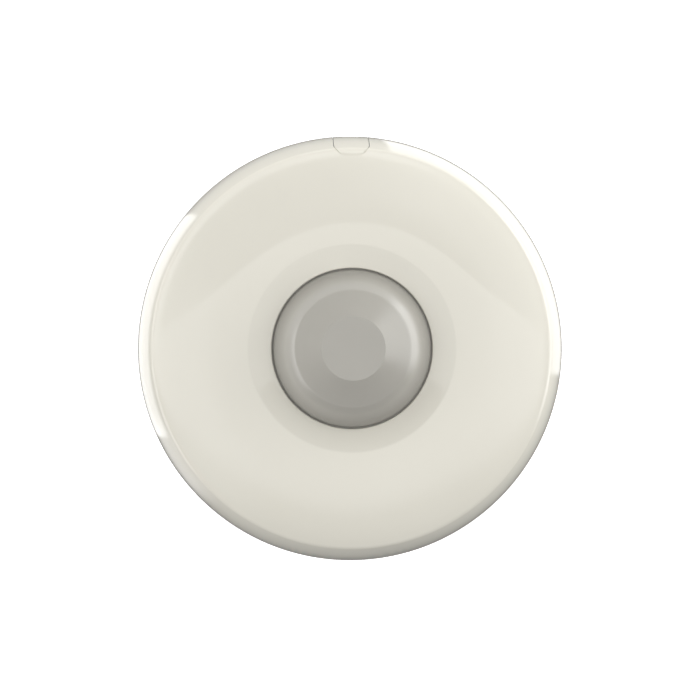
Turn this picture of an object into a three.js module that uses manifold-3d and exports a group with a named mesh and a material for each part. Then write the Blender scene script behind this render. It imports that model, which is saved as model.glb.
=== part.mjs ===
// Ceiling-mount passive infrared motion sensor: a round glossy cover with a faceted dome lens, on a
// screw-down base that carries the circuit board. Millimetres, +Z up. The origin is the centre of the
// base's back face, +Z runs out through the lens, and the release catch is on the +Y side.
import * as THREE from "three";
import { mergeVertices } from "three/addons/utils/BufferGeometryUtils.js";
import Module from "manifold-3d";

const wasm = await Module();
wasm.setup();

// ---- Driving dimensions -------------------------------------------------------------------------
const RIM_RADIUS = 53; // outside of the cover at its open edge
const TOTAL_HEIGHT = 34; // back face to the flat top of the lens
const FACE_HEIGHT = 21.3; // highest ring of the cover's face
const SKIRT_GAP = 0.8; // open edge of the cover above the ceiling
const WALL = 2; // cover wall thickness
const PLAY = 0.3; // running clearance between neighbouring mouldings
const SEAT = 0.05; // clearance between two pieces that rest on each other

const CROWN_START = 26; // radius where the face starts to fall away
const CROWN_END = 48.7; // radius where the shoulder starts
// The face's slope is the sum of two terms, each a slope at the shoulder and a power of the way there.
const CROWN_TERMS = [
  { slope: 0.26, power: 1.1 },
  { slope: 0.277, power: 6.1 },
];
const SHOULDER_RADIUS = 2; // fillet between face and side
const SIDE_TILT = THREE.MathUtils.degToRad(24.6); // the side's lean at the shoulder; its foot is upright
const RECESS_RADIUS = 25.3; // outer edge of the shallow cone around the lens
const OPENING_RADIUS = 19.75; // lens opening
const OPENING_HEIGHT = 20.62;
const LENS_SEAT = 18.6; // underside of the cover around the opening
const COLLAR_INNER = 22.6; // wall that locates the lens flange
const COLLAR_OUTER = 24;
const COLLAR_FOOT = 15.4;

const DOME_RADIUS = 20; // sphere that the lens follows
const DOME_WALL = 0.7;
const DOME_SKIRT = 19.4; // the lens's radius where it leaves the cover
const CONE_RADIUS = 14.28; // outer edge of the conical ring
const DISC_RADIUS = 7.79; // flat centre disc
const DOME_CENTRE = TOTAL_HEIGHT - Math.sqrt(DOME_RADIUS ** 2 - DISC_RADIUS ** 2);
const FLANGE_RADIUS = 22.3;
const FLANGE = 0.7;
const RETAINER = { inner: 19, outer: 22.2, foot: 15.6, lugs: [30, 150, 270], lugHeight: 16.7 };

const TAB_HALF_WIDTH = 4.5; // slot in the cover that the release catch fills
const TAB_SHOULDER = 13.7; // height where the slot's sides start to curve in
const TAB_TOP = 18.2;
const TAB_POWER = 3.7; // 2 would be a half circle; more is squarer
const TAB_DEPTH = 46.4; // innermost reach of the catch's pad, measured from the axis
const CATCH_TRAVEL = 1.4; // how far the top of the pad can be pushed in
const NOTCH_HALF_WIDTH = 2; // screwdriver notch under the catch
const NOTCH_TOP = 5.1;
const ARM = { halfWidth: 3.2, y: 49.35, thickness: 1.9, top: 11.6 }; // the catch's spring arm
const HOOK = { halfWidth: 5, low: 1, high: 2.7, tip: 48.6, root: 51.5 }; // tab that hooks under the rim
const LATCH = { low: 8, high: 9.6, nibHalf: 6.2, ledgeHalf: 7.4, nibOut: 49, ledgeIn: 49.3, ledge: 1.3 };

const FLOOR = 2.2; // base floor thickness
const BASE_RADIUS = 49.4;
const BASE_RIM = 1.8; // rim wall thickness
const BASE_CHAMFER = 0.6;
const RIM_HEIGHT = 7;
const CATCH_BAY = 6.2; // half width of the gap in the rim for the catch
const SCREW_CIRCLE = 42.5; // radius of the ceiling screw slots
const SCREW_SLOT = 1.9; // half width of a slot
const SLOT_SWEEP = THREE.MathUtils.degToRad(7); // how far a slot runs each way along the circle
const SLOT_PAD = { width: 8.6, depth: 17, height: 0.8 }; // thicker floor round a slot
const ENTRY = { halfWidth: 9, halfDepth: 4, y: -38.5 }; // cable entry

const BOARD_RADIUS = 38;
const BOARD_BOTTOM = 5.2;
const BOARD = 1.6;
const BOARD_CHORD = -29; // the board stops here, to leave the cable entry open
const TOP = BOARD_BOTTOM + BOARD + SEAT; // where components stand
const BOARD_SCREW_CIRCLE = 34;
const BOARD_SCREW_ANGLES = [90, 210, 330];
const PILLAR_RADIUS = 3.2;
const PILOT_RADIUS = 1.1;

const WAYS = 6; // terminals
const WAY_PITCH = 3.5;
const TERMINAL = { y: -24.8, depth: 7, height: 8, margin: 0.7 };
const SHAFT_RADIUS = 1.35; // well above each terminal screw
const TAMPER = { x: -25, y: -8, size: 6.4, height: 4 };
const CAP_LOW = 14.15; // underside of the tamper button's cap
const CAP_TOP = 15.05;
const POST_RADIUS = 1.8; // cover post that holds the tamper button down
const DIP = { x: -17, y: 21, ways: 3, pitch: 2.54, depth: 6.4, height: 3.2, stroke: 1.5 };
const TRIMMER = { x: 15, y: 24, size: 6.4, height: 4.2 };
const SENSOR = { spacer: 3, spacerRadius: 4.7, can: 4.1, canRadius: 4.6, window: [4.2, 3.2], glass: 0.3 };
const LED = { x: 7.4, y: 7.4, radius: 1.5, flange: 1.9, straight: 3.4 };

const ROUND = 64; // segments of a large turned piece
const MEDIUM = 40;
const SMALL = 16;

// ---- Materials ----------------------------------------------------------------------------------
const material = (color, roughness, metalness = 0) =>
  new THREE.MeshStandardMaterial({ color, roughness, metalness });
const IVORY = material(0xe3e1d6, 0.12);
const BASE_IVORY = material(0xdcd9cc, 0.5);
const LENS = material(0xb4b2aa, 0.45);
const WHITE = material(0xe8e8e4, 0.45);
const BOARD_GREEN = material(0x1f5a34, 0.4);
const BLACK = material(0x1b1b1d, 0.55);
const STEEL = material(0xb9bbbd, 0.3, 1);
const BRASS = material(0xc8a452, 0.35, 1);
const FILTER = material(0x2a2630, 0.1);
const LED_RED = material(0xc21a16, 0.15);
const RELAY = material(0xe6e2d2, 0.4);
const SLEEVE = material(0x23304f, 0.35);
const TERMINAL_GREEN = material(0x2f7d4a, 0.45);
const DIP_RED = material(0xb3271e, 0.4);
const TRIMMER_BLUE = material(0x2a5fa8, 0.4);

// ---- Shape helpers ------------------------------------------------------------------------------
const v2 = (x, y) => new THREE.Vector2(x, y);

/** A closed geometry as a solid that can be joined and cut. */
function solid(geometry) {
  const flat = geometry.index ? geometry.toNonIndexed() : geometry;
  const bare = new THREE.BufferGeometry().setAttribute("position", flat.getAttribute("position"));
  const merged = mergeVertices(bare, 1e-4);
  const vertProperties = merged.attributes.position.array;
  const triVerts = new Uint32Array(merged.index.array);
  return new wasm.Manifold(new wasm.Mesh({ numProp: 3, vertProperties, triVerts }));
}

/** A solid as a geometry that a mesh can show. */
function geometryOf(made) {
  const { vertProperties, triVerts } = made.getMesh();
  const geometry = new THREE.BufferGeometry();
  geometry.setAttribute("position", new THREE.BufferAttribute(new Float32Array(vertProperties), 3));
  geometry.setIndex(new THREE.BufferAttribute(new Uint32Array(triVerts), 1));
  geometry.computeVertexNormals();
  return geometry;
}

/** Turns (radius, height) points round +Z. The profile ends on the axis at both ends, or closes on itself. */
function turned(profile, segments) {
  const closed = profile.some((p) => p.x < 1e-6) ? profile : [...profile, profile[0]];
  const area = closed.reduce((sum, p, i) => sum + p.cross(closed[(i + 1) % closed.length]), 0);
  const ordered = area > 0 ? closed : [...closed].reverse();
  return solid(new THREE.LatheGeometry(ordered, segments).rotateX(Math.PI / 2));
}

/** Extrudes a flat shape from one height to another. */
function extruded(shape, low, high, curveSegments = SMALL) {
  const options = { depth: high - low, bevelEnabled: false, curveSegments };
  return solid(new THREE.ExtrudeGeometry(shape, options).translate(0, 0, low));
}

/** A box from its middle in X and Y, its sizes, and the heights it runs between. */
function block(x, y, width, depth, low, high) {
  return solid(new THREE.BoxGeometry(width, depth, high - low).translate(x, y, (low + high) / 2));
}

/** An upright round bar. */
function rod(x, y, radius, low, high, segments = SMALL) {
  const geometry = new THREE.CylinderGeometry(radius, radius, high - low, segments);
  return solid(geometry.rotateX(Math.PI / 2).translate(x, y, (low + high) / 2));
}

/** A box whose top edges are chamfered, for moulded component bodies. */
function moulded(x, y, width, depth, low, high, chamfer = 0.4) {
  const shape = new THREE.Shape();
  const w = width / 2 - chamfer;
  const d = depth / 2 - chamfer;
  shape.moveTo(-w, -d).lineTo(w, -d).lineTo(w, d).lineTo(-w, d);
  const bevel = { bevelSize: chamfer, bevelThickness: chamfer, bevelSegments: 1 };
  const options = { depth: high - low - 2 * chamfer, ...bevel };
  return solid(new THREE.ExtrudeGeometry(shape, options).translate(x, y, low + chamfer));
}

const onCircle = (radius, degrees) => {
  const angle = THREE.MathUtils.degToRad(degrees);
  return v2(radius * Math.cos(angle), radius * Math.sin(angle));
};
const joined = (first, ...rest) => rest.reduce((sum, next) => sum.add(next), first);
const cut = (first, ...rest) => rest.reduce((sum, next) => sum.subtract(next), first);

// ---- Front cover --------------------------------------------------------------------------------
/** Height and outward normal of the face at a radius. */
function crown(radius) {
  const span = CROWN_END - CROWN_START;
  const share = Math.max(0, (radius - CROWN_START) / span);
  let height = FACE_HEIGHT;
  let fall = 0;
  for (const { slope, power } of CROWN_TERMS) {
    height -= (span * slope * share ** (power + 1)) / (power + 1);
    fall += slope * share ** power;
  }
  return { height, normal: v2(fall, 1).normalize() };
}

/** The cover's outline from its open edge to the start of the crown, moved inwards by an inset. */
function coverOutline(inset) {
  const end = crown(CROWN_END);
  const lean = Math.atan2(end.normal.x, end.normal.y);
  const fillet = v2(CROWN_END, end.height).addScaledVector(end.normal, -SHOULDER_RADIUS);
  const outward = v2(Math.cos(SIDE_TILT), Math.sin(SIDE_TILT));
  const shoulder = outward.multiplyScalar(SHOULDER_RADIUS).add(fillet);
  const sideRadius = (RIM_RADIUS - shoulder.x) / (1 - Math.cos(SIDE_TILT));
  const sideCentre = v2(RIM_RADIUS - sideRadius, shoulder.y - sideRadius * Math.sin(SIDE_TILT));
  const points = [v2(RIM_RADIUS - inset, SKIRT_GAP)];
  const SIDE_STEPS = 6;
  for (let i = 1; i <= SIDE_STEPS; i++) {
    const angle = (SIDE_TILT * i) / SIDE_STEPS;
    const reach = sideRadius - inset;
    points.push(v2(sideCentre.x + reach * Math.cos(angle), sideCentre.y + reach * Math.sin(angle)));
  }
  const FILLET_STEPS = 3;
  for (let i = 1; i < FILLET_STEPS && inset < SHOULDER_RADIUS; i++) {
    const angle = SIDE_TILT + ((Math.PI / 2 - lean - SIDE_TILT) * i) / FILLET_STEPS;
    const reach = SHOULDER_RADIUS - inset;
    points.push(v2(fillet.x + reach * Math.cos(angle), fillet.y + reach * Math.sin(angle)));
  }
  const CROWN_STEPS = 7;
  for (let i = 0; i <= CROWN_STEPS; i++) {
    const radius = CROWN_END + ((CROWN_START - CROWN_END) * i) / CROWN_STEPS;
    const { height, normal } = crown(radius);
    if (inset < SHOULDER_RADIUS || i > 0) points.push(v2(radius, height).addScaledVector(normal, -inset));
  }
  return points;
}

/** The slot that the release catch fills: straight sides and a rounded top, running out along +Y. */
function tabPrism(inset, near) {
  const halfWidth = TAB_HALF_WIDTH - inset;
  const rise = TAB_TOP - inset - TAB_SHOULDER;
  const shape = new THREE.Shape().moveTo(-halfWidth, -1).lineTo(halfWidth, -1);
  const STEPS = 16;
  for (let i = 0; i <= STEPS; i++) {
    const angle = (Math.PI * i) / STEPS;
    const across = Math.abs(Math.cos(angle)) ** (2 / TAB_POWER) * Math.sign(Math.cos(angle));
    shape.lineTo(halfWidth * across, TAB_SHOULDER + rise * Math.sin(angle) ** (2 / TAB_POWER));
  }
  const far = RIM_RADIUS + 2;
  const geometry = new THREE.ExtrudeGeometry(shape, { depth: far - near, bevelEnabled: false });
  // The shape's Y becomes +Z, and its extrusion runs along -Y from beyond the rim.
  return solid(geometry.rotateX(Math.PI / 2).translate(0, far, 0));
}

const coverShell = (() => {
  const outer = coverOutline(0);
  const inner = coverOutline(WALL).reverse();
  const lip = [
    v2(RECESS_RADIUS + 0.25, FACE_HEIGHT - 0.05),
    v2(RECESS_RADIUS - 0.25, FACE_HEIGHT - 0.15),
    v2(OPENING_RADIUS + 0.3, OPENING_HEIGHT),
    v2(OPENING_RADIUS, OPENING_HEIGHT - 0.3),
    v2(OPENING_RADIUS, LENS_SEAT),
    v2(COLLAR_INNER, LENS_SEAT),
    v2(COLLAR_INNER, COLLAR_FOOT),
    v2(COLLAR_OUTER, COLLAR_FOOT),
    v2(COLLAR_OUTER, FACE_HEIGHT - WALL),
  ];
  return turned([...outer, ...lip, ...inner], ROUND);
})();

function frontCover() {
  const post = rod(TAMPER.x, TAMPER.y, POST_RADIUS, CAP_TOP + PLAY, FACE_HEIGHT - 1);
  const ledges = [-1, 1].map((side) => {
    const near = TAB_HALF_WIDTH + 0.2;
    const middle = (side * (near + LATCH.ledgeHalf)) / 2;
    const y = LATCH.ledgeIn + LATCH.ledge / 2;
    return block(middle, y, LATCH.ledgeHalf - near, LATCH.ledge, LATCH.low - 2, LATCH.low - PLAY);
  });
  const pockets = RETAINER.lugs.map((angle) => {
    const at = onCircle((COLLAR_INNER + COLLAR_OUTER) / 2, angle);
    const pocket = new THREE.BoxGeometry(2.4, 4.6, 1.8).rotateZ(THREE.MathUtils.degToRad(angle));
    return solid(pocket.translate(at.x, at.y, RETAINER.lugHeight));
  });
  const reach = HOOK.root - HOOK.tip;
  const hook = block(0, -HOOK.tip - reach / 2, HOOK.halfWidth * 2, reach, HOOK.low, HOOK.high);
  const slot = tabPrism(0, TAB_DEPTH - CATCH_TRAVEL - PLAY);
  return cut(joined(coverShell, post, hook, ...ledges), slot, ...pockets);
}

// ---- Lens and its retainer ----------------------------------------------------------------------
/** The dome's outline with a given sphere radius: curved zone, conical ring, flat disc. */
function domeOutline(radius) {
  const scale = radius / DOME_RADIUS;
  const heightAt = (r) => DOME_CENTRE + Math.sqrt(radius ** 2 - r ** 2);
  const start = DOME_SKIRT - (DOME_RADIUS - radius);
  const stop = CONE_RADIUS * scale;
  const from = Math.asin(start / radius);
  const to = Math.asin(stop / radius);
  const points = [];
  const ZONE_STEPS = 5;
  for (let i = 0; i <= ZONE_STEPS; i++) {
    const angle = from + ((to - from) * i) / ZONE_STEPS;
    points.push(v2(radius * Math.sin(angle), DOME_CENTRE + radius * Math.cos(angle)));
  }
  const disc = DISC_RADIUS * scale;
  points.push(v2(disc, heightAt(disc)), v2(0, heightAt(disc)));
  return points;
}

function fresnelLens() {
  const top = LENS_SEAT - SEAT;
  const foot = top - FLANGE;
  const inside = domeOutline(DOME_RADIUS - DOME_WALL).reverse();
  const flange = [
    v2(DOME_SKIRT - DOME_WALL, foot),
    v2(FLANGE_RADIUS, foot),
    v2(FLANGE_RADIUS, top),
    v2(DOME_SKIRT, top),
  ];
  return turned([...inside, ...flange, ...domeOutline(DOME_RADIUS)], MEDIUM);
}

function lensRetainer() {
  const { inner, outer, foot } = RETAINER;
  const high = LENS_SEAT - FLANGE - 2 * SEAT;
  const ring = turned([v2(inner, foot), v2(outer, foot), v2(outer, high), v2(inner, high)], MEDIUM);
  const lugs = RETAINER.lugs.map((angle) => {
    const at = onCircle(outer + 0.2, angle);
    const lug = new THREE.BoxGeometry(1.2, 4, 1).rotateZ(THREE.MathUtils.degToRad(angle));
    return solid(lug.translate(at.x, at.y, RETAINER.lugHeight));
  });
  return joined(ring, ...lugs);
}

// ---- Release catch ------------------------------------------------------------------------------
function releaseCatch() {
  const pad = coverShell.intersect(tabPrism(PLAY, TAB_DEPTH));
  const notch = block(0, RIM_RADIUS, NOTCH_HALF_WIDTH * 2, 8, -1, NOTCH_TOP);
  const arm = block(0, ARM.y, ARM.halfWidth * 2, ARM.thickness, FLOOR + 0.4, ARM.top);
  const nib = block(0, LATCH.nibOut - 0.5, LATCH.nibHalf * 2, 1, LATCH.low, LATCH.high);
  return joined(pad.subtract(notch), arm, nib);
}

// ---- Mounting base ------------------------------------------------------------------------------
/** A slot that follows the screw circle. */
function curvedSlot(degrees) {
  const angle = THREE.MathUtils.degToRad(degrees);
  const head = angle + SLOT_SWEEP;
  const tail = angle - SLOT_SWEEP;
  const endAt = (turn) => v2(SCREW_CIRCLE * Math.cos(turn), SCREW_CIRCLE * Math.sin(turn));
  const first = endAt(head);
  const last = endAt(tail);
  const shape = new THREE.Shape();
  shape.absarc(0, 0, SCREW_CIRCLE + SCREW_SLOT, tail, head, false);
  shape.absarc(first.x, first.y, SCREW_SLOT, head, head + Math.PI, false);
  shape.absarc(0, 0, SCREW_CIRCLE - SCREW_SLOT, head, tail, true);
  shape.absarc(last.x, last.y, SCREW_SLOT, tail + Math.PI, tail + 2 * Math.PI, false);
  return extruded(shape, -1, FLOOR + 2, 8);
}

function cableEntry() {
  const { halfWidth, halfDepth, y } = ENTRY;
  const straight = halfWidth - halfDepth;
  const shape = new THREE.Shape();
  shape.absarc(straight, y, halfDepth, -Math.PI / 2, Math.PI / 2, false);
  shape.absarc(-straight, y, halfDepth, Math.PI / 2, (3 * Math.PI) / 2, false);
  return extruded(shape, -1, FLOOR + 1, 8);
}

function mountingBase() {
  const inner = BASE_RADIUS - BASE_RIM;
  const tray = turned(
    [
      v2(0, 0),
      v2(BASE_RADIUS - BASE_CHAMFER, 0),
      v2(BASE_RADIUS, BASE_CHAMFER),
      v2(BASE_RADIUS, RIM_HEIGHT - BASE_CHAMFER),
      v2(BASE_RADIUS - BASE_CHAMFER, RIM_HEIGHT),
      v2(inner, RIM_HEIGHT),
      v2(inner, FLOOR),
      v2(0, FLOOR),
    ],
    ROUND,
  );
  const posts = BOARD_SCREW_ANGLES.map((angle) => onCircle(BOARD_SCREW_CIRCLE, angle));
  const bury = FLOOR - 0.5; // where pieces that stand on the floor begin
  const pillars = posts.map((p) => rod(p.x, p.y, PILLAR_RADIUS, bury, BOARD_BOTTOM - SEAT));
  const pilots = posts.map((p) => rod(p.x, p.y, PILOT_RADIUS, FLOOR, BOARD_BOTTOM + 1, 12));
  const cheekX = CATCH_BAY + 0.6;
  const cheeks = [-1, 1].map((side) => block(side * cheekX, 46.4, 1.2, 5.4, bury, RIM_HEIGHT));
  const pads = [0, 180].map((angle) => {
    const at = onCircle(SCREW_CIRCLE, angle);
    return block(at.x, at.y, SLOT_PAD.width, SLOT_PAD.depth, bury, FLOOR + SLOT_PAD.height);
  });
  const bay = block(0, BASE_RADIUS, CATCH_BAY * 2, 9.6, FLOOR, RIM_HEIGHT + 1);
  const tongue = block(0, BASE_RADIUS - 2, 8, 5.8, 0, FLOOR);
  const windowTop = HOOK.high + 1.9; // room for the hook to tip as the cover opens
  const window = block(0, -BASE_RADIUS, HOOK.halfWidth * 2 + 1, 4.4, HOOK.low - 0.4, windowTop);
  const whole = joined(tray, tongue, ...pillars, ...pads);
  const slots = [0, 180].map(curvedSlot);
  return cut(whole, bay, window, cableEntry(), ...slots, ...pilots).add(joined(...cheeks));
}

// ---- Circuit board and what stands on it --------------------------------------------------------
function circuitBoard() {
  const chordAngle = Math.asin(BOARD_CHORD / BOARD_RADIUS);
  const shape = new THREE.Shape();
  shape.absarc(0, 0, BOARD_RADIUS, chordAngle, Math.PI - chordAngle, false);
  shape.closePath();
  for (const angle of BOARD_SCREW_ANGLES) {
    const at = onCircle(BOARD_SCREW_CIRCLE, angle);
    const hole = new THREE.Path();
    hole.absarc(at.x, at.y, 1.6, 0, 2 * Math.PI, true);
    shape.holes.push(hole);
  }
  return extruded(shape, BOARD_BOTTOM, BOARD_BOTTOM + BOARD, 24);
}

function boardScrew(at) {
  const [tip, shank, head, crossDepth] = [3, 0.9, 2.6, 0.7];
  const cross = TOP + 0.9; // floor of the driver's cross
  const top = cross + crossDepth;
  const profile = [
    v2(0, tip),
    v2(shank, tip + 0.6),
    v2(shank, TOP),
    v2(head, TOP),
    v2(head, cross),
    v2(head - 0.9, top),
    v2(0, top),
  ];
  const slots = [block(0, 0, 3, 0.6, cross, top + 1), block(0, 0, 0.6, 3, cross, top + 1)];
  return cut(turned(profile, SMALL), ...slots).translate(at.x, at.y, 0);
}

const SPACER_TOP = TOP + SENSOR.spacer;
const CAN_TOP = SPACER_TOP + SEAT + SENSOR.can;
const GLASS_FLOOR = CAN_TOP - SENSOR.glass;

function sensorSpacer() {
  const [radius, chamfer] = [SENSOR.spacerRadius, 0.3];
  const wall = [v2(radius, TOP), v2(radius, SPACER_TOP - chamfer), v2(radius - chamfer, SPACER_TOP)];
  return turned([v2(0, TOP), ...wall, v2(0, SPACER_TOP)], 24);
}

function sensorCan() {
  const low = SPACER_TOP + SEAT;
  const [flange, wall, chamfer] = [0.4, SENSOR.canRadius - 0.5, 0.3];
  const profile = [
    v2(0, low),
    v2(SENSOR.canRadius, low),
    v2(SENSOR.canRadius, low + flange),
    v2(wall, low + flange),
    v2(wall, CAN_TOP - chamfer),
    v2(wall - chamfer, CAN_TOP),
    v2(0, CAN_TOP),
  ];
  const key = new THREE.BoxGeometry(1.6, 0.9, flange).translate(4.9, 0, low + flange / 2);
  const opening = block(0, 0, ...SENSOR.window, GLASS_FLOOR, CAN_TOP + 1);
  return turned(profile, 24).add(solid(key.rotateZ(Math.PI / 4))).subtract(opening);
}

function sensorWindow() {
  const [width, depth] = SENSOR.window;
  return block(0, 0, width - 2 * SEAT, depth - 2 * SEAT, GLASS_FLOOR + SEAT, CAN_TOP);
}

function ledIndicator() {
  const { radius, flange } = LED;
  const [ledge, shoulder] = [TOP + 0.8, TOP + LED.straight];
  const foot = [v2(0, TOP), v2(flange, TOP), v2(flange, ledge), v2(radius, ledge)];
  const profile = [...foot, v2(radius, shoulder)];
  for (const degrees of [30, 60]) profile.push(onCircle(radius, degrees).add(v2(0, shoulder)));
  profile.push(v2(0, shoulder + radius));
  return turned(profile, SMALL).translate(LED.x, LED.y, 0);
}

/** A surface-mount chip: a chamfered body and a row of gull-wing legs along both long sides. */
function chip(x, y, legs) {
  const PITCH = 1.27;
  const length = legs * PITCH;
  const body = moulded(x, y, length, 3.9, TOP + 0.15, TOP + 1.65, 0.25);
  const feet = [];
  for (let i = 0; i < legs; i++) {
    const at = x + (i - (legs - 1) / 2) * PITCH;
    feet.push(block(at, y, 0.42, 5, TOP + 0.75, TOP + 0.95));
    for (const side of [-1, 1]) {
      feet.push(block(at, y + side * 2.5, 0.42, 0.2, TOP, TOP + 0.95));
      feet.push(block(at, y + side * 2.75, 0.42, 0.6, TOP, TOP + 0.2));
    }
  }
  return joined(body, ...feet);
}

function capacitor(x, y, radius, height) {
  const top = TOP + height;
  const profile = [
    v2(0, TOP),
    v2(radius, TOP),
    v2(radius, TOP + 0.9),
    v2(radius - 0.25, TOP + 1.2),
    v2(radius, TOP + 1.5),
    v2(radius, top - 0.4),
    v2(radius - 0.4, top),
    v2(0, top),
  ];
  return turned(profile, SMALL + 4).translate(x, y, 0);
}

/** A three-legged regulator: a round body with a flat front, on bare legs. */
function regulator(x, y) {
  const [radius, foot, height] = [2.3, 1.6, 4.6];
  const shape = new THREE.Shape();
  shape.absarc(0, 0, radius, -Math.PI * 0.2, Math.PI * 1.2, false);
  shape.closePath();
  const body = extruded(shape, TOP + foot, TOP + foot + height, 8).translate(x, y, 0);
  const legs = [-1.27, 0, 1.27].map((offset) => block(x + offset, y, 0.4, 0.4, TOP, TOP + 2));
  return joined(body, ...legs);
}

/** A sealed relay, with the small vent pip on its top. */
function alarmRelay(x, y) {
  const top = TOP + 8.8;
  const pip = rod(x - 2, y + 5.6, 0.5, top - 0.3, top + 0.15, 8);
  return moulded(x, y, 7.6, 15.4, TOP, top, 0.4).add(pip);
}

// ---- Terminal block: the screws are captive, and each one lifts its cage -------------------------
const wayX = (way) => (way - (WAYS - 1) / 2) * WAY_PITCH;
const SCREW_Y = TERMINAL.y - 0.5;
const POCKET = { halfWidth: 1.35, low: TOP + 0.6, high: TOP + 5 };
const CAGE = { halfWidth: 1.25, halfDepth: 1.3, wall: 0.35, low: TOP + 0.7, height: 3 };

function terminalBlock() {
  const length = WAYS * WAY_PITCH + 2 * TERMINAL.margin;
  const front = TERMINAL.y - TERMINAL.depth / 2;
  const body = moulded(0, TERMINAL.y, length, TERMINAL.depth, TOP, TOP + TERMINAL.height, 0.3);
  const { halfWidth, low, high } = POCKET;
  const cuts = [];
  for (let way = 0; way < WAYS; way++) {
    cuts.push(block(wayX(way), front + 2.5, halfWidth * 2, 5.4, low, high));
    cuts.push(rod(wayX(way), SCREW_Y, SHAFT_RADIUS, high - 0.5, TOP + TERMINAL.height + 1, 12));
  }
  return cut(body, ...cuts);
}

function terminalScrew(way) {
  const [tip, neck, top] = [TOP + 2.4, TOP + 5.6, TOP + 7.4];
  const [shank, head] = [0.6, 1.2];
  const thread = [v2(0, tip), v2(shank, tip), v2(shank, neck)];
  const profile = [...thread, v2(head, neck), v2(head, top), v2(0, top)];
  const slot = block(0, 0, 3, 0.5, top - 0.7, top + 1);
  return turned(profile, 12).subtract(slot).translate(wayX(way), SCREW_Y, 0);
}

function terminalCage(way) {
  const { halfWidth, halfDepth, wall, low, height } = CAGE;
  const x = wayX(way);
  const frame = block(x, SCREW_Y, halfWidth * 2, halfDepth * 2, low, low + height);
  const window = block(x, SCREW_Y, (halfWidth - wall) * 2, halfDepth * 4, low + wall, low + height - 0.9);
  return cut(frame, window, rod(x, SCREW_Y, 0.72, low + height - 1.5, low + height + 1, 12));
}

// ---- Tamper switch ------------------------------------------------------------------------------
const SWITCH_TOP = TOP + TAMPER.height;

function tamperSwitch() {
  const body = moulded(TAMPER.x, TAMPER.y, TAMPER.size, TAMPER.size, TOP, SWITCH_TOP, 0.4);
  return body.subtract(rod(TAMPER.x, TAMPER.y, 1.6, TOP + 1, SWITCH_TOP + 1));
}

function tamperPlunger() {
  const [low, stem, cap, chamfer] = [TOP + 1.4, 1.3, 2.3, 0.4];
  const profile = [
    v2(0, low),
    v2(stem, low),
    v2(stem, CAP_LOW),
    v2(cap, CAP_LOW),
    v2(cap, CAP_TOP - chamfer),
    v2(cap - chamfer, CAP_TOP),
    v2(0, CAP_TOP),
  ];
  return turned(profile, SMALL).translate(TAMPER.x, TAMPER.y, 0);
}

function tamperSpring() {
  const [meanRadius, wire, turns] = [1.85, 0.17, 3.5];
  const low = SWITCH_TOP + wire + SEAT;
  const rise = CAP_LOW - wire - SEAT - low;
  class Helix extends THREE.Curve {
    getPoint(t) {
      const at = onCircle(meanRadius, t * turns * 360);
      return new THREE.Vector3(at.x, at.y, low + t * rise);
    }
  }
  const section = new THREE.Shape().absarc(0, 0, wire, 0, 2 * Math.PI, false);
  const options = { extrudePath: new Helix(), steps: turns * 14, curveSegments: 3, bevelEnabled: false };
  return solid(new THREE.ExtrudeGeometry(section, options).translate(TAMPER.x, TAMPER.y, 0));
}

// ---- Option switches and range trimmer ----------------------------------------------------------
const dipX = (way) => DIP.x + (way - (DIP.ways - 1) / 2) * DIP.pitch;
const DIP_TOP = TOP + DIP.height;
const DIP_POCKET = DIP_TOP - 1.2; // floor of a slider's pocket

function dipHousing() {
  const body = moulded(DIP.x, DIP.y, DIP.ways * DIP.pitch + 1.6, DIP.depth, TOP, DIP_TOP, 0.25);
  const slots = [];
  for (let way = 0; way < DIP.ways; way++) {
    slots.push(block(dipX(way), DIP.y, 1.5, DIP.stroke + 1.7, DIP_POCKET, DIP_TOP + 1));
  }
  return cut(body, ...slots);
}

/** A slider at the -Y end of its stroke. */
function dipSlider(way) {
  const y = DIP.y - DIP.stroke / 2;
  return moulded(dipX(way), y, 1.2, 1.3, DIP_POCKET + SEAT * 2, DIP_TOP + 0.6, 0.15);
}

const TRIMMER_TOP = TOP + TRIMMER.height;

function trimmerBase() {
  const body = moulded(TRIMMER.x, TRIMMER.y, TRIMMER.size, TRIMMER.size, TOP, TRIMMER_TOP, 0.4);
  return body.subtract(rod(TRIMMER.x, TRIMMER.y, 2.3, TRIMMER_TOP - 1.2, TRIMMER_TOP + 1, 20));
}

/** The trimmer's disc, with an arrow cut in it for a screwdriver. */
function trimmerRotor() {
  const high = TRIMMER_TOP + 0.1;
  const groove = high - 0.5;
  const disc = rod(0, 0, 2.15, TRIMMER_TOP - 1.1, high, 20);
  const arrow = [block(0, 0, 2.8, 0.6, groove, high + 1), block(0.9, 0, 0.6, 1.6, groove, high + 1)];
  return cut(disc, ...arrow).translate(TRIMMER.x, TRIMMER.y, 0);
}

// ---- Assembly -----------------------------------------------------------------------------------
const sensor = new THREE.Group();

function place(name, made, look) {
  const mesh = new THREE.Mesh(geometryOf(made), look);
  mesh.name = name;
  sensor.add(mesh);
}

place("mounting_base", mountingBase(), BASE_IVORY);
place("front_cover", frontCover(), IVORY);
place("fresnel_lens", fresnelLens(), LENS);
place("lens_retainer", lensRetainer(), WHITE);
place("release_catch", releaseCatch(), IVORY);
place("circuit_board", circuitBoard(), BOARD_GREEN);
BOARD_SCREW_ANGLES.forEach((angle, i) => {
  place(`board_screw_${i + 1}`, boardScrew(onCircle(BOARD_SCREW_CIRCLE, angle)), STEEL);
});
place("sensor_spacer", sensorSpacer(), BLACK);
place("pyro_sensor_can", sensorCan(), STEEL);
place("pyro_sensor_window", sensorWindow(), FILTER);
place("indicator_led", ledIndicator(), LED_RED);
place("microcontroller", chip(-14, -10, 7), BLACK);
place("amplifier_chip", chip(13.5, -10, 7), BLACK);
place("alarm_relay", alarmRelay(29, 3), RELAY);
place("supply_capacitor", capacitor(-28, 5, 3.15, 7), SLEEVE);
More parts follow.
